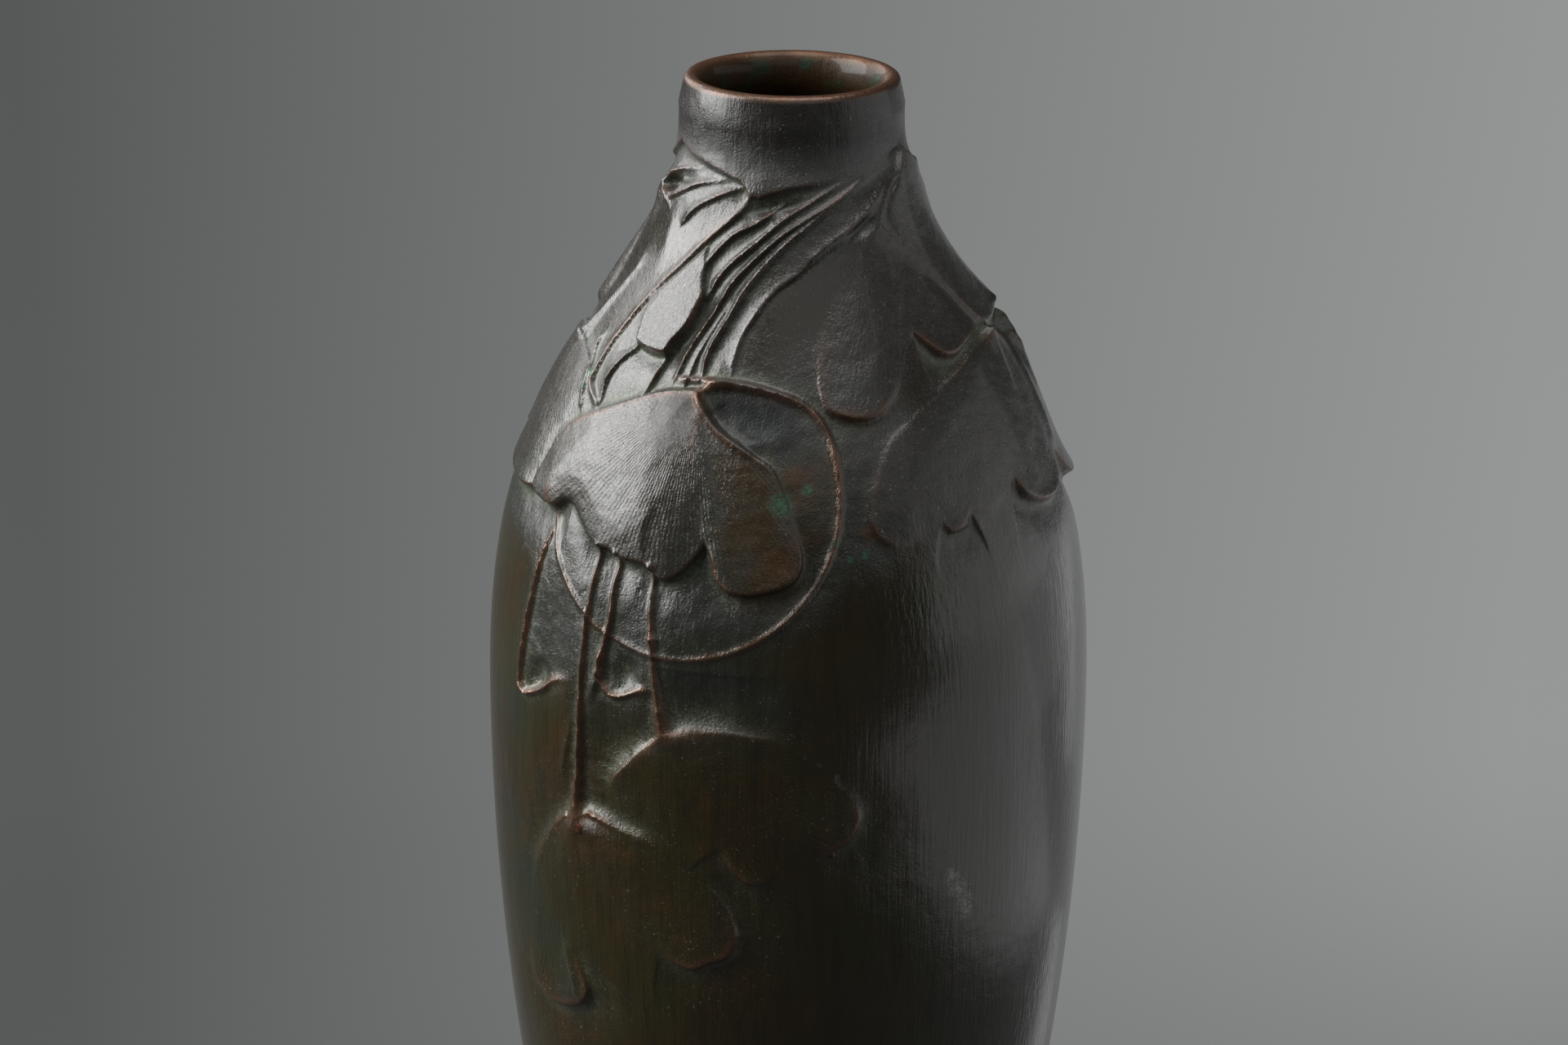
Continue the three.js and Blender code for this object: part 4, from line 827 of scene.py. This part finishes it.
# Where each layer of the patina shows, and how strongly. Slate and grey begin at wavering limits,
# and from the collar's hem up the colour is painted darker, a painted shade.
brown_share = add_node(tree, "MapRange", (cloud, 0.4, 0.6))
ochre_spots = add_node(tree, "MapRange", (mottle, 0.5, 0.7))
ochre_share = add_node(tree, "Math", (ochre_spots, brown_share), "MULTIPLY")
to_the_right = add_node(tree, "Math", (cloud, 40.0, to_the_side), "MULTIPLY_ADD")
slate_share = add_node(tree, "MapRange", (to_the_right, 22.0, 62.0, 0.0, 0.75))
above_the_leaves = add_node(tree, "MapRange", (up, 148.0, 166.0, 0.0, 0.7))
slate_skin = add_node(tree, "Math", (skin, above_the_leaves), "MULTIPLY")
slate_share = add_node(tree, "Math", (slate_share, slate_skin), "MAXIMUM")
wipe_place = add_node(tree, "Mapping", {"Vector": mm, "Rotation": (0, 0.25, 0), "Scale": (1, 1, 0.12)})
wipe = add_node(tree, "TexNoise", {"Vector": wipe_place, "Scale": 1 / 2.5, "Detail": 4.0})
wiped_share = add_node(tree, "MapRange", (wipe, 0.45, 0.7, 0.0, 0.55))
height_waver = add_node(tree, "Math", (cloud, 60.0, up), "MULTIPLY_ADD")
grey_share = add_node(tree, "MapRange", (height_waver, 215.0, 250.0, 0.0, 0.8))
dust_spots = add_node(tree, "MapRange", (mottle, 0.35, 0.6, 0.3, 1.0))
dust_grains = add_node(tree, "MapRange", (speckle, 0.42, 0.58, 0.35, 1.0))
dust_share = add_node(tree, "Math", (hollows, dust_spots), "MULTIPLY")
dust_share = add_node(tree, "Math", (dust_share, dust_grains), "MULTIPLY")
collar_share = add_node(tree, "MapRange", (up, 243.0, 248.0, 0.0, 0.7))
speck_noise = add_node(tree, "TexNoise", {"Vector": mm, "Scale": 1 / 0.45, "Detail": 1.0})
specks = add_node(tree, "MapRange", (speck_noise, 0.7, 0.77))
specks = add_node(tree, "Math", (specks, skin), "MULTIPLY")
mouth_green = add_node(tree, "MapRange", (mottle, 0.52, 0.64))
mouth_colour = add_node(tree, "Mix", (mouth_green, linear("#2c1e0e"), linear("#1c2f20")), data_type="RGBA")
worn_patches = add_node(tree, "MapRange", (mottle, 0.34, 0.58, 0.3, 1.0))
worn_share = add_node(tree, "Math", (wear, worn_patches), "MULTIPLY")
worn_veins = add_node(tree, "MapRange", (veins, 0.35, 1.0, 0.0, 0.12))
worn_share = add_node(tree, "Math", (worn_share, worn_veins), "MAXIMUM")


def marks(spots, edge, strength=1.0):
    """Where a few patches are, stains and one painted shade: azimuth, height and size in mm of each, with
    uneven edges.
    """
    share = 0.0
    for spot_azimuth, spot_height, size in spots:
        centre = tuple(float(v) for v in on_vase(spot_azimuth, spot_height))
        gap = add_node(tree, "VectorMath", (mm, centre), "DISTANCE").outputs["Value"]
        gap = add_node(tree, "Math", (edge, -1.6 * size, gap), "MULTIPLY_ADD")
        near = add_node(tree, "MapRange", (gap, 0.2 * size, -0.6 * size))
        share = add_node(tree, "Math", (near, share), "MAXIMUM")
    return add_node(tree, "Math", (share, strength), "MULTIPLY")


brown_lobe = marks(((-10, 199, 8), (-7, 191, 9), (-4, 184, 8), (2, 197, 7), (4, 190, 5)), mottle)
copper_lobes = marks((
    (-0.8, 185.5, 4), (1.2, 188.5, 3), (-15.2, 184, 2), (-13, 181.6, 2.2), (16.5, 190.5, 2.4),
    (14, 208.8, 2.4), (19, 208.2, 2.6), (24, 209, 2), (1.4, 200.2, 2.4)), mottle, 0.6)
teal = marks(((-60, 118, 9), (-54, 108, 9), (-47, 98, 7), (-66, 128, 8), (-62, 150, 7)), mottle, 0.35)
# Painted shade in the pit under the ring's top: a dark grey patch, which is also duller and less shiny.
painted_pit_shade = marks(((-16, 209, 6), (-10, 208.6, 7), (-4, 208, 6), (-9, 205.5, 5), (-2, 206, 4)), mottle)
verdigris = marks((
    (-1.3, 195.1, 2.5), (3.8, 197.5, 1.3), (9.2, 189.0, 1.0), (15.2, 186.8, 1.1), (12.2, 186.1, 1.2),
    (-62.5, 210.0, 1.5), (-63, 207.6, 1.2)), mottle, dust_grains)
scuff = marks(((32.2, 126.0, 2.0), (33.8, 123.4, 2.4), (35.4, 120.4, 2.2), (36, 118.4, 1.6)),
              speckle, dust_grains)

# The layers from the lowest up.
colour = add_node(tree, "Mix", (brown_share, linear("#2e2b14"), linear("#30250f")), data_type="RGBA")
for share, tone in (
        (ochre_share, linear("#3b2b11")),
        (slate_share, linear("#2a2f2f")),
        (wiped_share, linear("#1f1d12")),
        (grey_share, linear("#2b2824")),
        (dust_share, linear("#535949")),
        # painted shade: the collar, darker from its hem up
        (collar_share, linear("#141210")),
        (specks, linear("#6a6c61")),
        (mouth, mouth_colour),
        (worn_share, linear("#72503c")),
        (brown_lobe, linear("#33260e")),
        (copper_lobes, linear("#452a10")),
        (teal, linear("#1b2f2c")),
        # painted shade in the pit
        (painted_pit_shade, linear("#1c1f1f")),
        (verdigris, linear("#2a5c42")),
        (scuff, linear("#6c6f66"))):
    colour = add_node(tree, "Mix", (share, colour, tone), data_type="RGBA")

# The wax is smooth on the plain wall, and duller on the relief, in the dust and down the collar.
metallic = add_node(tree, "Math", (worn_share, 0.7, 0.1), "MULTIPLY_ADD")
rough = add_node(tree, "MapRange", (speckle, 0.3, 0.7, 0.11, 0.19))
low_on_the_collar = add_node(tree, "MapRange", (up, 253.0, 246.5, 0.22, 0.5))
for share, duller in (
        (skin, 0.13), (dust_share, 0.32), (collar_share, low_on_the_collar), (painted_pit_shade, 0.2),
        (mouth, 0.12), (worn_share, 0.02)):
    rough = add_node(tree, "Math", (share, duller, rough), "MULTIPLY_ADD")
rubbed_collar = add_node(tree, "MapRange", (up, 252.0, 245.0, 0.0, 1.4))
shine = 0.65
for share, brighter in (
        (mouth, -0.35), (dust_share, -0.3), (grey_share, -0.12), (painted_pit_shade, -0.3),
        (collar_share, rubbed_collar)):
    shine = add_node(tree, "Math", (share, brighter, shine), "MULTIPLY_ADD")

# The cast skin: grains, low swellings and pits, weaker on the plain wall, then the leaf veins and
# the upright marks of a wire brush. All heights are in mm.
grain = add_node(tree, "TexNoise", {"Vector": mm, "Scale": 1 / 0.36, "Detail": 2.0, "Roughness": 0.6})
uneven = add_node(tree, "TexNoise", {"Vector": mm, "Scale": 1 / 3.6, "Detail": 1.0})
pit_noise = add_node(tree, "TexNoise", {"Vector": mm, "Scale": 1 / 1.5, "Detail": 1.0})
pits = add_node(tree, "MapRange", (pit_noise, 0.66, 0.8))
brush_place = add_node(tree, "Mapping", {"Vector": mm, "Scale": (1, 1, 0.05)})
brush = add_node(tree, "TexNoise", {"Vector": brush_place, "Scale": 1 / 0.6, "Detail": 3.0})
skin_depth = add_node(tree, "MapRange", (skin, 0.0, 1.0, 0.2, 1.0))
surface = 0.0
for texture, tallness in ((grain, 0.12), (uneven, 0.35), (pits, -0.06)):
    surface = add_node(tree, "Math", (texture, tallness, surface), "MULTIPLY_ADD")
surface = add_node(tree, "Math", (surface, skin_depth), "MULTIPLY")
for texture, tallness in ((veins, 0.013), (brush, 0.1)):
    surface = add_node(tree, "Math", (texture, tallness, surface), "MULTIPLY_ADD")
bump = add_node(tree, "Bump", {"Height": surface, "Distance": MM, "Strength": 1.0})
shader = add_node(tree, "BsdfPrincipled", {
    "Base Color": colour, "Roughness": rough, "Metallic": metallic, "Normal": bump,
    "Specular IOR Level": shine, "Coat Weight": 0.25, "Coat Roughness": 0.12})
add_node(tree, "OutputMaterial", {"Surface": shader})
vase.data.materials.append(bronze)
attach(vase, "root")
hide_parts("vase_body")

# Plugs: turned rod of a redder bronze, driven into the holes that two core pins left right through
# the wall, and into one small casting fault. Each is filed nearly flush and a little domed.
# The filed bronze is coppery, with brown stains and the short marks of the file, which dull it.
plug_bronze, tree, mm = new_material("filed_bronze_rod")
stain = add_node(tree, "TexNoise", {"Vector": mm, "Scale": 1 / 0.9, "Detail": 3.0})
stain_share = add_node(tree, "MapRange", (stain, 0.4, 0.62))
colour = add_node(tree, "Mix", (stain_share, linear("#3a2414"), linear("#6a3a22")), data_type="RGBA")
file_place = add_node(tree, "Mapping", {"Vector": mm, "Rotation": (0, 0.6, 0), "Scale": (1, 1, 0.1)})
file_marks = add_node(tree, "TexNoise", {"Vector": file_place, "Scale": 1 / 0.25, "Detail": 1.0})
bump = add_node(tree, "Bump", {"Height": file_marks, "Distance": 0.03 * MM, "Strength": 1.0})
shader = add_node(tree, "BsdfPrincipled", {
    "Base Color": colour, "Roughness": 0.42, "Metallic": 0.45, "Normal": bump,
    "Specular IOR Level": 0.6, "Coat Weight": 0.2, "Coat Roughness": 0.2})
add_node(tree, "OutputMaterial", {"Surface": shader})

# The domed face rises in three steps, and each goes in and up by a share of the plug's radius.
DOME_STEPS = ((0.1, 0.2), (0.25, 0.1), (0.3, 0.05))
DOME_RISE = sum(step_up for step_in, step_up in DOME_STEPS)
PIN_RADIUS, REPAIR_RADIUS = 1.65, 0.7
PLUG_PROUD = 0.1
for node_name, piece_name, radius, azimuth, height in (
        ("pin_plug_front", "plug_below_the_long_stem", PIN_RADIUS, -42.1, 132.9),
        ("pin_plug_back", "plug_behind_the_long_stem", PIN_RADIUS, 137.9, 132.9),
        ("pin_plug_low_right", "plug_low_on_the_right", PIN_RADIUS, 48.0, 45.0),
        ("pin_plug_low_left", "plug_low_on_the_left", PIN_RADIUS, -132.0, 45.0),
        ("repair_plug", "plug_in_the_casting_fault", REPAIR_RADIUS, 8.1, 133.2)):
    outwards = Vector((math.sin(math.radians(azimuth)), -math.cos(math.radians(azimuth)), 0))
    bore = float(radius_at(height)) - WALL
    relief_here = float(on_chart(relief, np.array(azimuth), np.array(height)))
    length = WALL + relief_here + PLUG_PROUD - DOME_RISE * radius
    deselect_all()
    bpy.ops.mesh.primitive_circle_add(
        vertices=32, radius=radius * MM, fill_type="NGON",
        location=outwards * bore * MM + Vector((0, 0, height * MM)),
        rotation=outwards.to_track_quat("Z", "Y").to_euler())
    plug = bpy.context.active_object
    plug.name = piece_name
    bpy.ops.object.mode_set(mode="EDIT")
    bpy.context.tool_settings.mesh_select_mode = (False, False, True)
    bpy.ops.mesh.select_all(action="SELECT")
    bpy.ops.mesh.extrude_region_move(TRANSFORM_OT_translate={"value": outwards * length * MM})
    for step_in, step_up in DOME_STEPS:
        bpy.ops.mesh.inset(thickness=step_in * radius * MM)
        bpy.ops.transform.translate(value=outwards * step_up * radius * MM)
    bpy.ops.mesh.select_all(action="SELECT")
    bpy.ops.mesh.normals_make_consistent(inside=False)
    bpy.ops.object.mode_set(mode="OBJECT")
    bpy.ops.object.transform_apply(location=True, rotation=True, scale=True)
    bpy.ops.object.shade_smooth_by_angle(angle=math.radians(50))
    plug.data.materials.append(plug_bronze)
    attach(plug, "root")
    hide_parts(node_name)

# The plate that closes the foot: a disc of sheet bronze, turned on a lathe, which lies in a rebate
# on a ledge. Two grooves and fine rings are left by the tool, and a dimple by the lathe's centre.
PLATE_CHAMFER = 0.3
GROOVE_RADII, GROOVE_DEPTH = (24.0, 9.0), 0.25
DIMPLE_RADIUS, DIMPLE_DEPTH = 0.8, 0.5
plate_top = PLATE_RECESS + PLATE_THICKNESS
plate_section = [
    (0, plate_top), (PLATE_RADIUS - PLATE_CHAMFER, plate_top), (PLATE_RADIUS, plate_top - PLATE_CHAMFER),
    (PLATE_RADIUS, PLATE_RECESS + PLATE_CHAMFER), (PLATE_RADIUS - PLATE_CHAMFER, PLATE_RECESS)]
for groove in GROOVE_RADII:
    for aside, deep in ((0.5, 0), (0.2, GROOVE_DEPTH), (-0.2, GROOVE_DEPTH), (-0.5, 0)):
        plate_section.append((groove + aside, PLATE_RECESS + deep))
plate_section += [(DIMPLE_RADIUS, PLATE_RECESS), (0, PLATE_RECESS + DIMPLE_DEPTH)]
plate = spin_section("closing_plate", plate_section, 128)
bpy.ops.object.shade_smooth_by_angle(angle=math.radians(25))

# Turned sheet bronze: bare metal, yellower than the casting, which has tarnished in cloudy patches.
# The lathe's rings are drawn coarser than a tool leaves them, so that they show.
RING_GAP = 0.6
plate_bronze, tree, mm = new_material("turned_sheet_bronze")
tarnish = add_node(tree, "TexNoise", {"Vector": mm, "Scale": 1 / 9, "Detail": 5.0, "Roughness": 0.6})
tarnish_share = add_node(tree, "MapRange", (tarnish, 0.38, 0.62))
colour = add_node(tree, "Mix", (tarnish_share, linear("#4a3c22"), linear("#7a6238")), data_type="RGBA")
flat = add_node(tree, "Mapping", {"Vector": mm, "Scale": (1, 1, 0)})
from_centre = add_node(tree, "VectorMath", (flat,), "LENGTH").outputs["Value"]
rings = add_node(tree, "Math", (from_centre, math.tau / RING_GAP), "MULTIPLY")
rings = add_node(tree, "Math", (rings,), "SINE")
bump = add_node(tree, "Bump", {"Height": rings, "Distance": 0.01 * MM, "Strength": 1.0})
rough = add_node(tree, "MapRange", (tarnish_share, 0.0, 1.0, 0.5, 0.34))
shader = add_node(tree, "BsdfPrincipled", {
    "Base Color": colour, "Roughness": rough, "Metallic": 0.85, "Normal": bump})
add_node(tree, "OutputMaterial", {"Surface": shader})
plate.data.materials.append(plate_bronze)
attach(plate, "root")
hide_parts("base_plate")

# The bead of soft solder that holds and seals the plate: run round the corner between the plate and
# the foot with an iron, so that it is hollow in section and a little uneven.
SOLDER_SETBACK = 0.4
BEAD_REACH = 1.8
BEAD_SAG = 0.05
bead_section = [(rebate_radius, PLATE_RECESS), (rebate_radius, SOLDER_SETBACK)]
for turn in np.radians((15, 30, 45, 60, 75)):
    bead_section.append((
        rebate_radius - BEAD_REACH * (1 - math.cos(turn)) - BEAD_SAG,
        PLATE_RECESS - (PLATE_RECESS - SOLDER_SETBACK) * (1 - math.sin(turn)) - BEAD_SAG))
bead_section.append((rebate_radius - BEAD_REACH, PLATE_RECESS))
bead = spin_section("solder_bead", bead_section + bead_section[:1], 160)
bpy.ops.object.mode_set(mode="EDIT")
bpy.ops.mesh.select_all(action="SELECT")
bpy.ops.transform.vertex_random(offset=0.00016, seed=7)
bpy.ops.mesh.vertices_smooth(factor=0.5, repeat=2)
bpy.ops.mesh.normals_make_consistent(inside=False)
bpy.ops.object.mode_set(mode="OBJECT")
bpy.ops.object.shade_smooth_by_angle(angle=math.radians(70))

# Soft solder: a pale grey metal, dulled to darker grey where an oxide has formed.
solder, tree, mm = new_material("soft_solder")
oxide = add_node(tree, "TexNoise", {"Vector": mm, "Scale": 1 / 3, "Detail": 4.0})
oxide_share = add_node(tree, "MapRange", (oxide, 0.4, 0.6))
colour = add_node(tree, "Mix", (oxide_share, linear("#9a9c9b"), linear("#67696a")), data_type="RGBA")
rough = add_node(tree, "MapRange", (oxide_share, 0.0, 1.0, 0.35, 0.6))
bump = add_node(tree, "Bump", {"Height": oxide, "Distance": 0.1 * MM, "Strength": 1.0})
shader = add_node(tree, "BsdfPrincipled", {
    "Base Color": colour, "Roughness": rough, "Metallic": 0.9, "Normal": bump})
add_node(tree, "OutputMaterial", {"Surface": shader})
bead.data.materials.append(solder)
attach(bead, "root")
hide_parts("base_solder")

# The table top: plain matt grey paper, large enough to fill the picture. Its tone is a painted light
# falloff, lighter to the right and behind the vase, with a painted shade darker in front of it. The
# camera and the reflections see it as evenly lit, apart from the ground close to the vase, where its
# own shading and the vase's shadow show. From left to right its tone goes by X over the distance from
# the camera, so that the change stands upright in the picture.
FLOOR_SIZE = 6.0
CAMERA_DISTANCE, LEAST_DISTANCE = 753.0, 700.0
deselect_all()
bpy.ops.mesh.primitive_plane_add(size=FLOOR_SIZE, location=(0, 0, 0))
floor = bpy.context.active_object
floor.name = "floor"
floor.location = (0, 0, -0.5 * MM)
paper, tree, mm = new_material("grey_paper")
axes = add_node(tree, "SeparateXYZ", (mm,))
distance = add_node(tree, "Math", (axes.outputs["Y"], CAMERA_DISTANCE), "ADD")
distance = add_node(tree, "Math", (distance, LEAST_DISTANCE), "MAXIMUM")
sideways = add_node(tree, "Math", (axes.outputs["X"], distance), "DIVIDE")
# Painted light falloff: the paper grows lighter to the right.
fade = add_node(tree, "MapRange", (sideways, -0.18, 0.18))
tone = add_node(tree, "Mix", (fade, linear("#595b5b"), linear("#979898")), data_type="RGBA")
# Painted shade: the paper in front of the vase is painted darker.
behind = add_node(tree, "MapRange", (axes.outputs["Y"], -200.0, 350.0), interpolation_type="SMOOTHSTEP")
tone = add_node(tree, "Mix", (behind, linear("#464747"), tone), data_type="RGBA")
lit_paper = add_node(tree, "BsdfDiffuse", {"Color": tone})
even_paper = add_node(tree, "Emission", {"Color": tone, "Strength": 1.0})
path = add_node(tree, "LightPath")
seen = path.outputs["Is Camera Ray"]
for ray in ("Is Glossy Ray", "Is Transmission Ray"):
    seen = add_node(tree, "Math", (seen, path.outputs[ray]), "MAXIMUM")
reach = add_node(tree, "VectorMath", (mm,), "LENGTH").outputs["Value"]
away = add_node(tree, "MapRange", (reach, 80.0, 300.0, 0.5, 0.95), interpolation_type="SMOOTHSTEP")
evenness = add_node(tree, "Math", (seen, away), "MULTIPLY")
paper_shader = add_node(tree, "MixShader", (evenness, lit_paper, even_paper))
add_node(tree, "OutputMaterial", {"Surface": paper_shader})
floor.data.materials.append(paper)


def area_lamp(name, place, turned, width, height, radiance):
    bpy.ops.object.light_add(type="AREA", location=place, rotation=turned)
    lamp = bpy.context.active_object
    lamp.name = name
    lamp.data.shape = "RECTANGLE"
    lamp.data.size = width
    lamp.data.size_y = height
    lamp.data.energy = radiance * width * height * math.pi
    lamp.visible_camera = False


# The lamps: a large soft box on the left and a wide weaker one behind it, a slim strip low behind on
# the right, a broad weak panel on the right, one overhead, and a weak one in front. Each has an
# azimuth and elevation, a distance, a width and height, a strength, and the place that it faces.
MIDDLE = (0, 0, 0.22)
LOW_RIGHT_FLANK = (0.0517, -0.0188, 0.074)
for name, azimuth, elevation, distance, width, height, radiance, aim in (
        ("key_box", -89, 26, 0.66, 0.5, 0.66, 9.0, MIDDLE),
        ("back_panel", -134, 24, 0.8, 0.7, 0.42, 2.4, MIDDLE),
        ("rim_strip", 138.5, 0, 0.33, 0.055, 0.145, 0.42, LOW_RIGHT_FLANK),
        ("side_panel", 86, 0, 1.1, 1.4, 1.0, 0.6, MIDDLE),
        ("top_fill", 10, 84, 1.0, 0.9, 0.7, 3.0, MIDDLE),
        ("front_fill", 20, 38, 1.0, 1.2, 0.6, 0.5, MIDDLE)):
    a, e = math.radians(azimuth), math.radians(elevation)
    towards_lamp = Vector((math.sin(a) * math.cos(e), -math.cos(a) * math.cos(e), math.sin(e)))
    turned = towards_lamp.to_track_quat("Z", "Y").to_euler()
    area_lamp(name, Vector(aim) + distance * towards_lamp, turned, width, height, radiance)

# White cards that lie on the table, mostly out of frame to the right, and shine in the belly. Each
# is a weak lamp that faces up, with a place, a width and depth, a turn and a strength.
CARD_HEIGHT = 0.001
for name, x, y, width, depth, turn, radiance in (
        ("right_card", 0.65, -0.15, 0.86, 0.54, 0, 0.46),
        ("right_card_in_the_middle", 0.68, -0.12, 0.8, 0.34, 0, 0.4),
        ("right_card_at_the_back", 0.72, 0.53, 0.6, 0.9, 0, 0.2),
        ("narrow_card", 0.127, 0.085, 0.17, 0.045, 54, 0.35)):
    area_lamp(name, (x, y, CARD_HEIGHT), (math.pi, 0, math.radians(turn)), width, depth, radiance)

# The room is plain grey and dim.
world = bpy.data.worlds.new("room")
bpy.context.scene.world = world
world.use_nodes = True
room_light = world.node_tree.nodes["Background"]
room_light.inputs["Color"].default_value = linear("#9c9c9c")
room_light.inputs["Strength"].default_value = 0.1

# The camera, which looks 19 degrees down and has the top of the vase in view.
LENS = 100
CAMERA_PLACE = (-0.00094, -0.7533, 0.4353)
LOOK_DOWN = 19.0
ROLL = 0.35
tilted = Euler((math.radians(90 - LOOK_DOWN), 0, 0)).to_matrix()
turned = tilted @ Matrix.Rotation(math.radians(ROLL), 3, "Z")
bpy.ops.object.camera_add(location=CAMERA_PLACE, rotation=turned.to_euler())
camera = bpy.context.active_object
camera.data.lens = LENS
camera.data.sensor_width = 36
camera.data.sensor_fit = "HORIZONTAL"
bpy.context.scene.camera = camera
bpy.context.scene.view_settings.view_transform = "Standard"
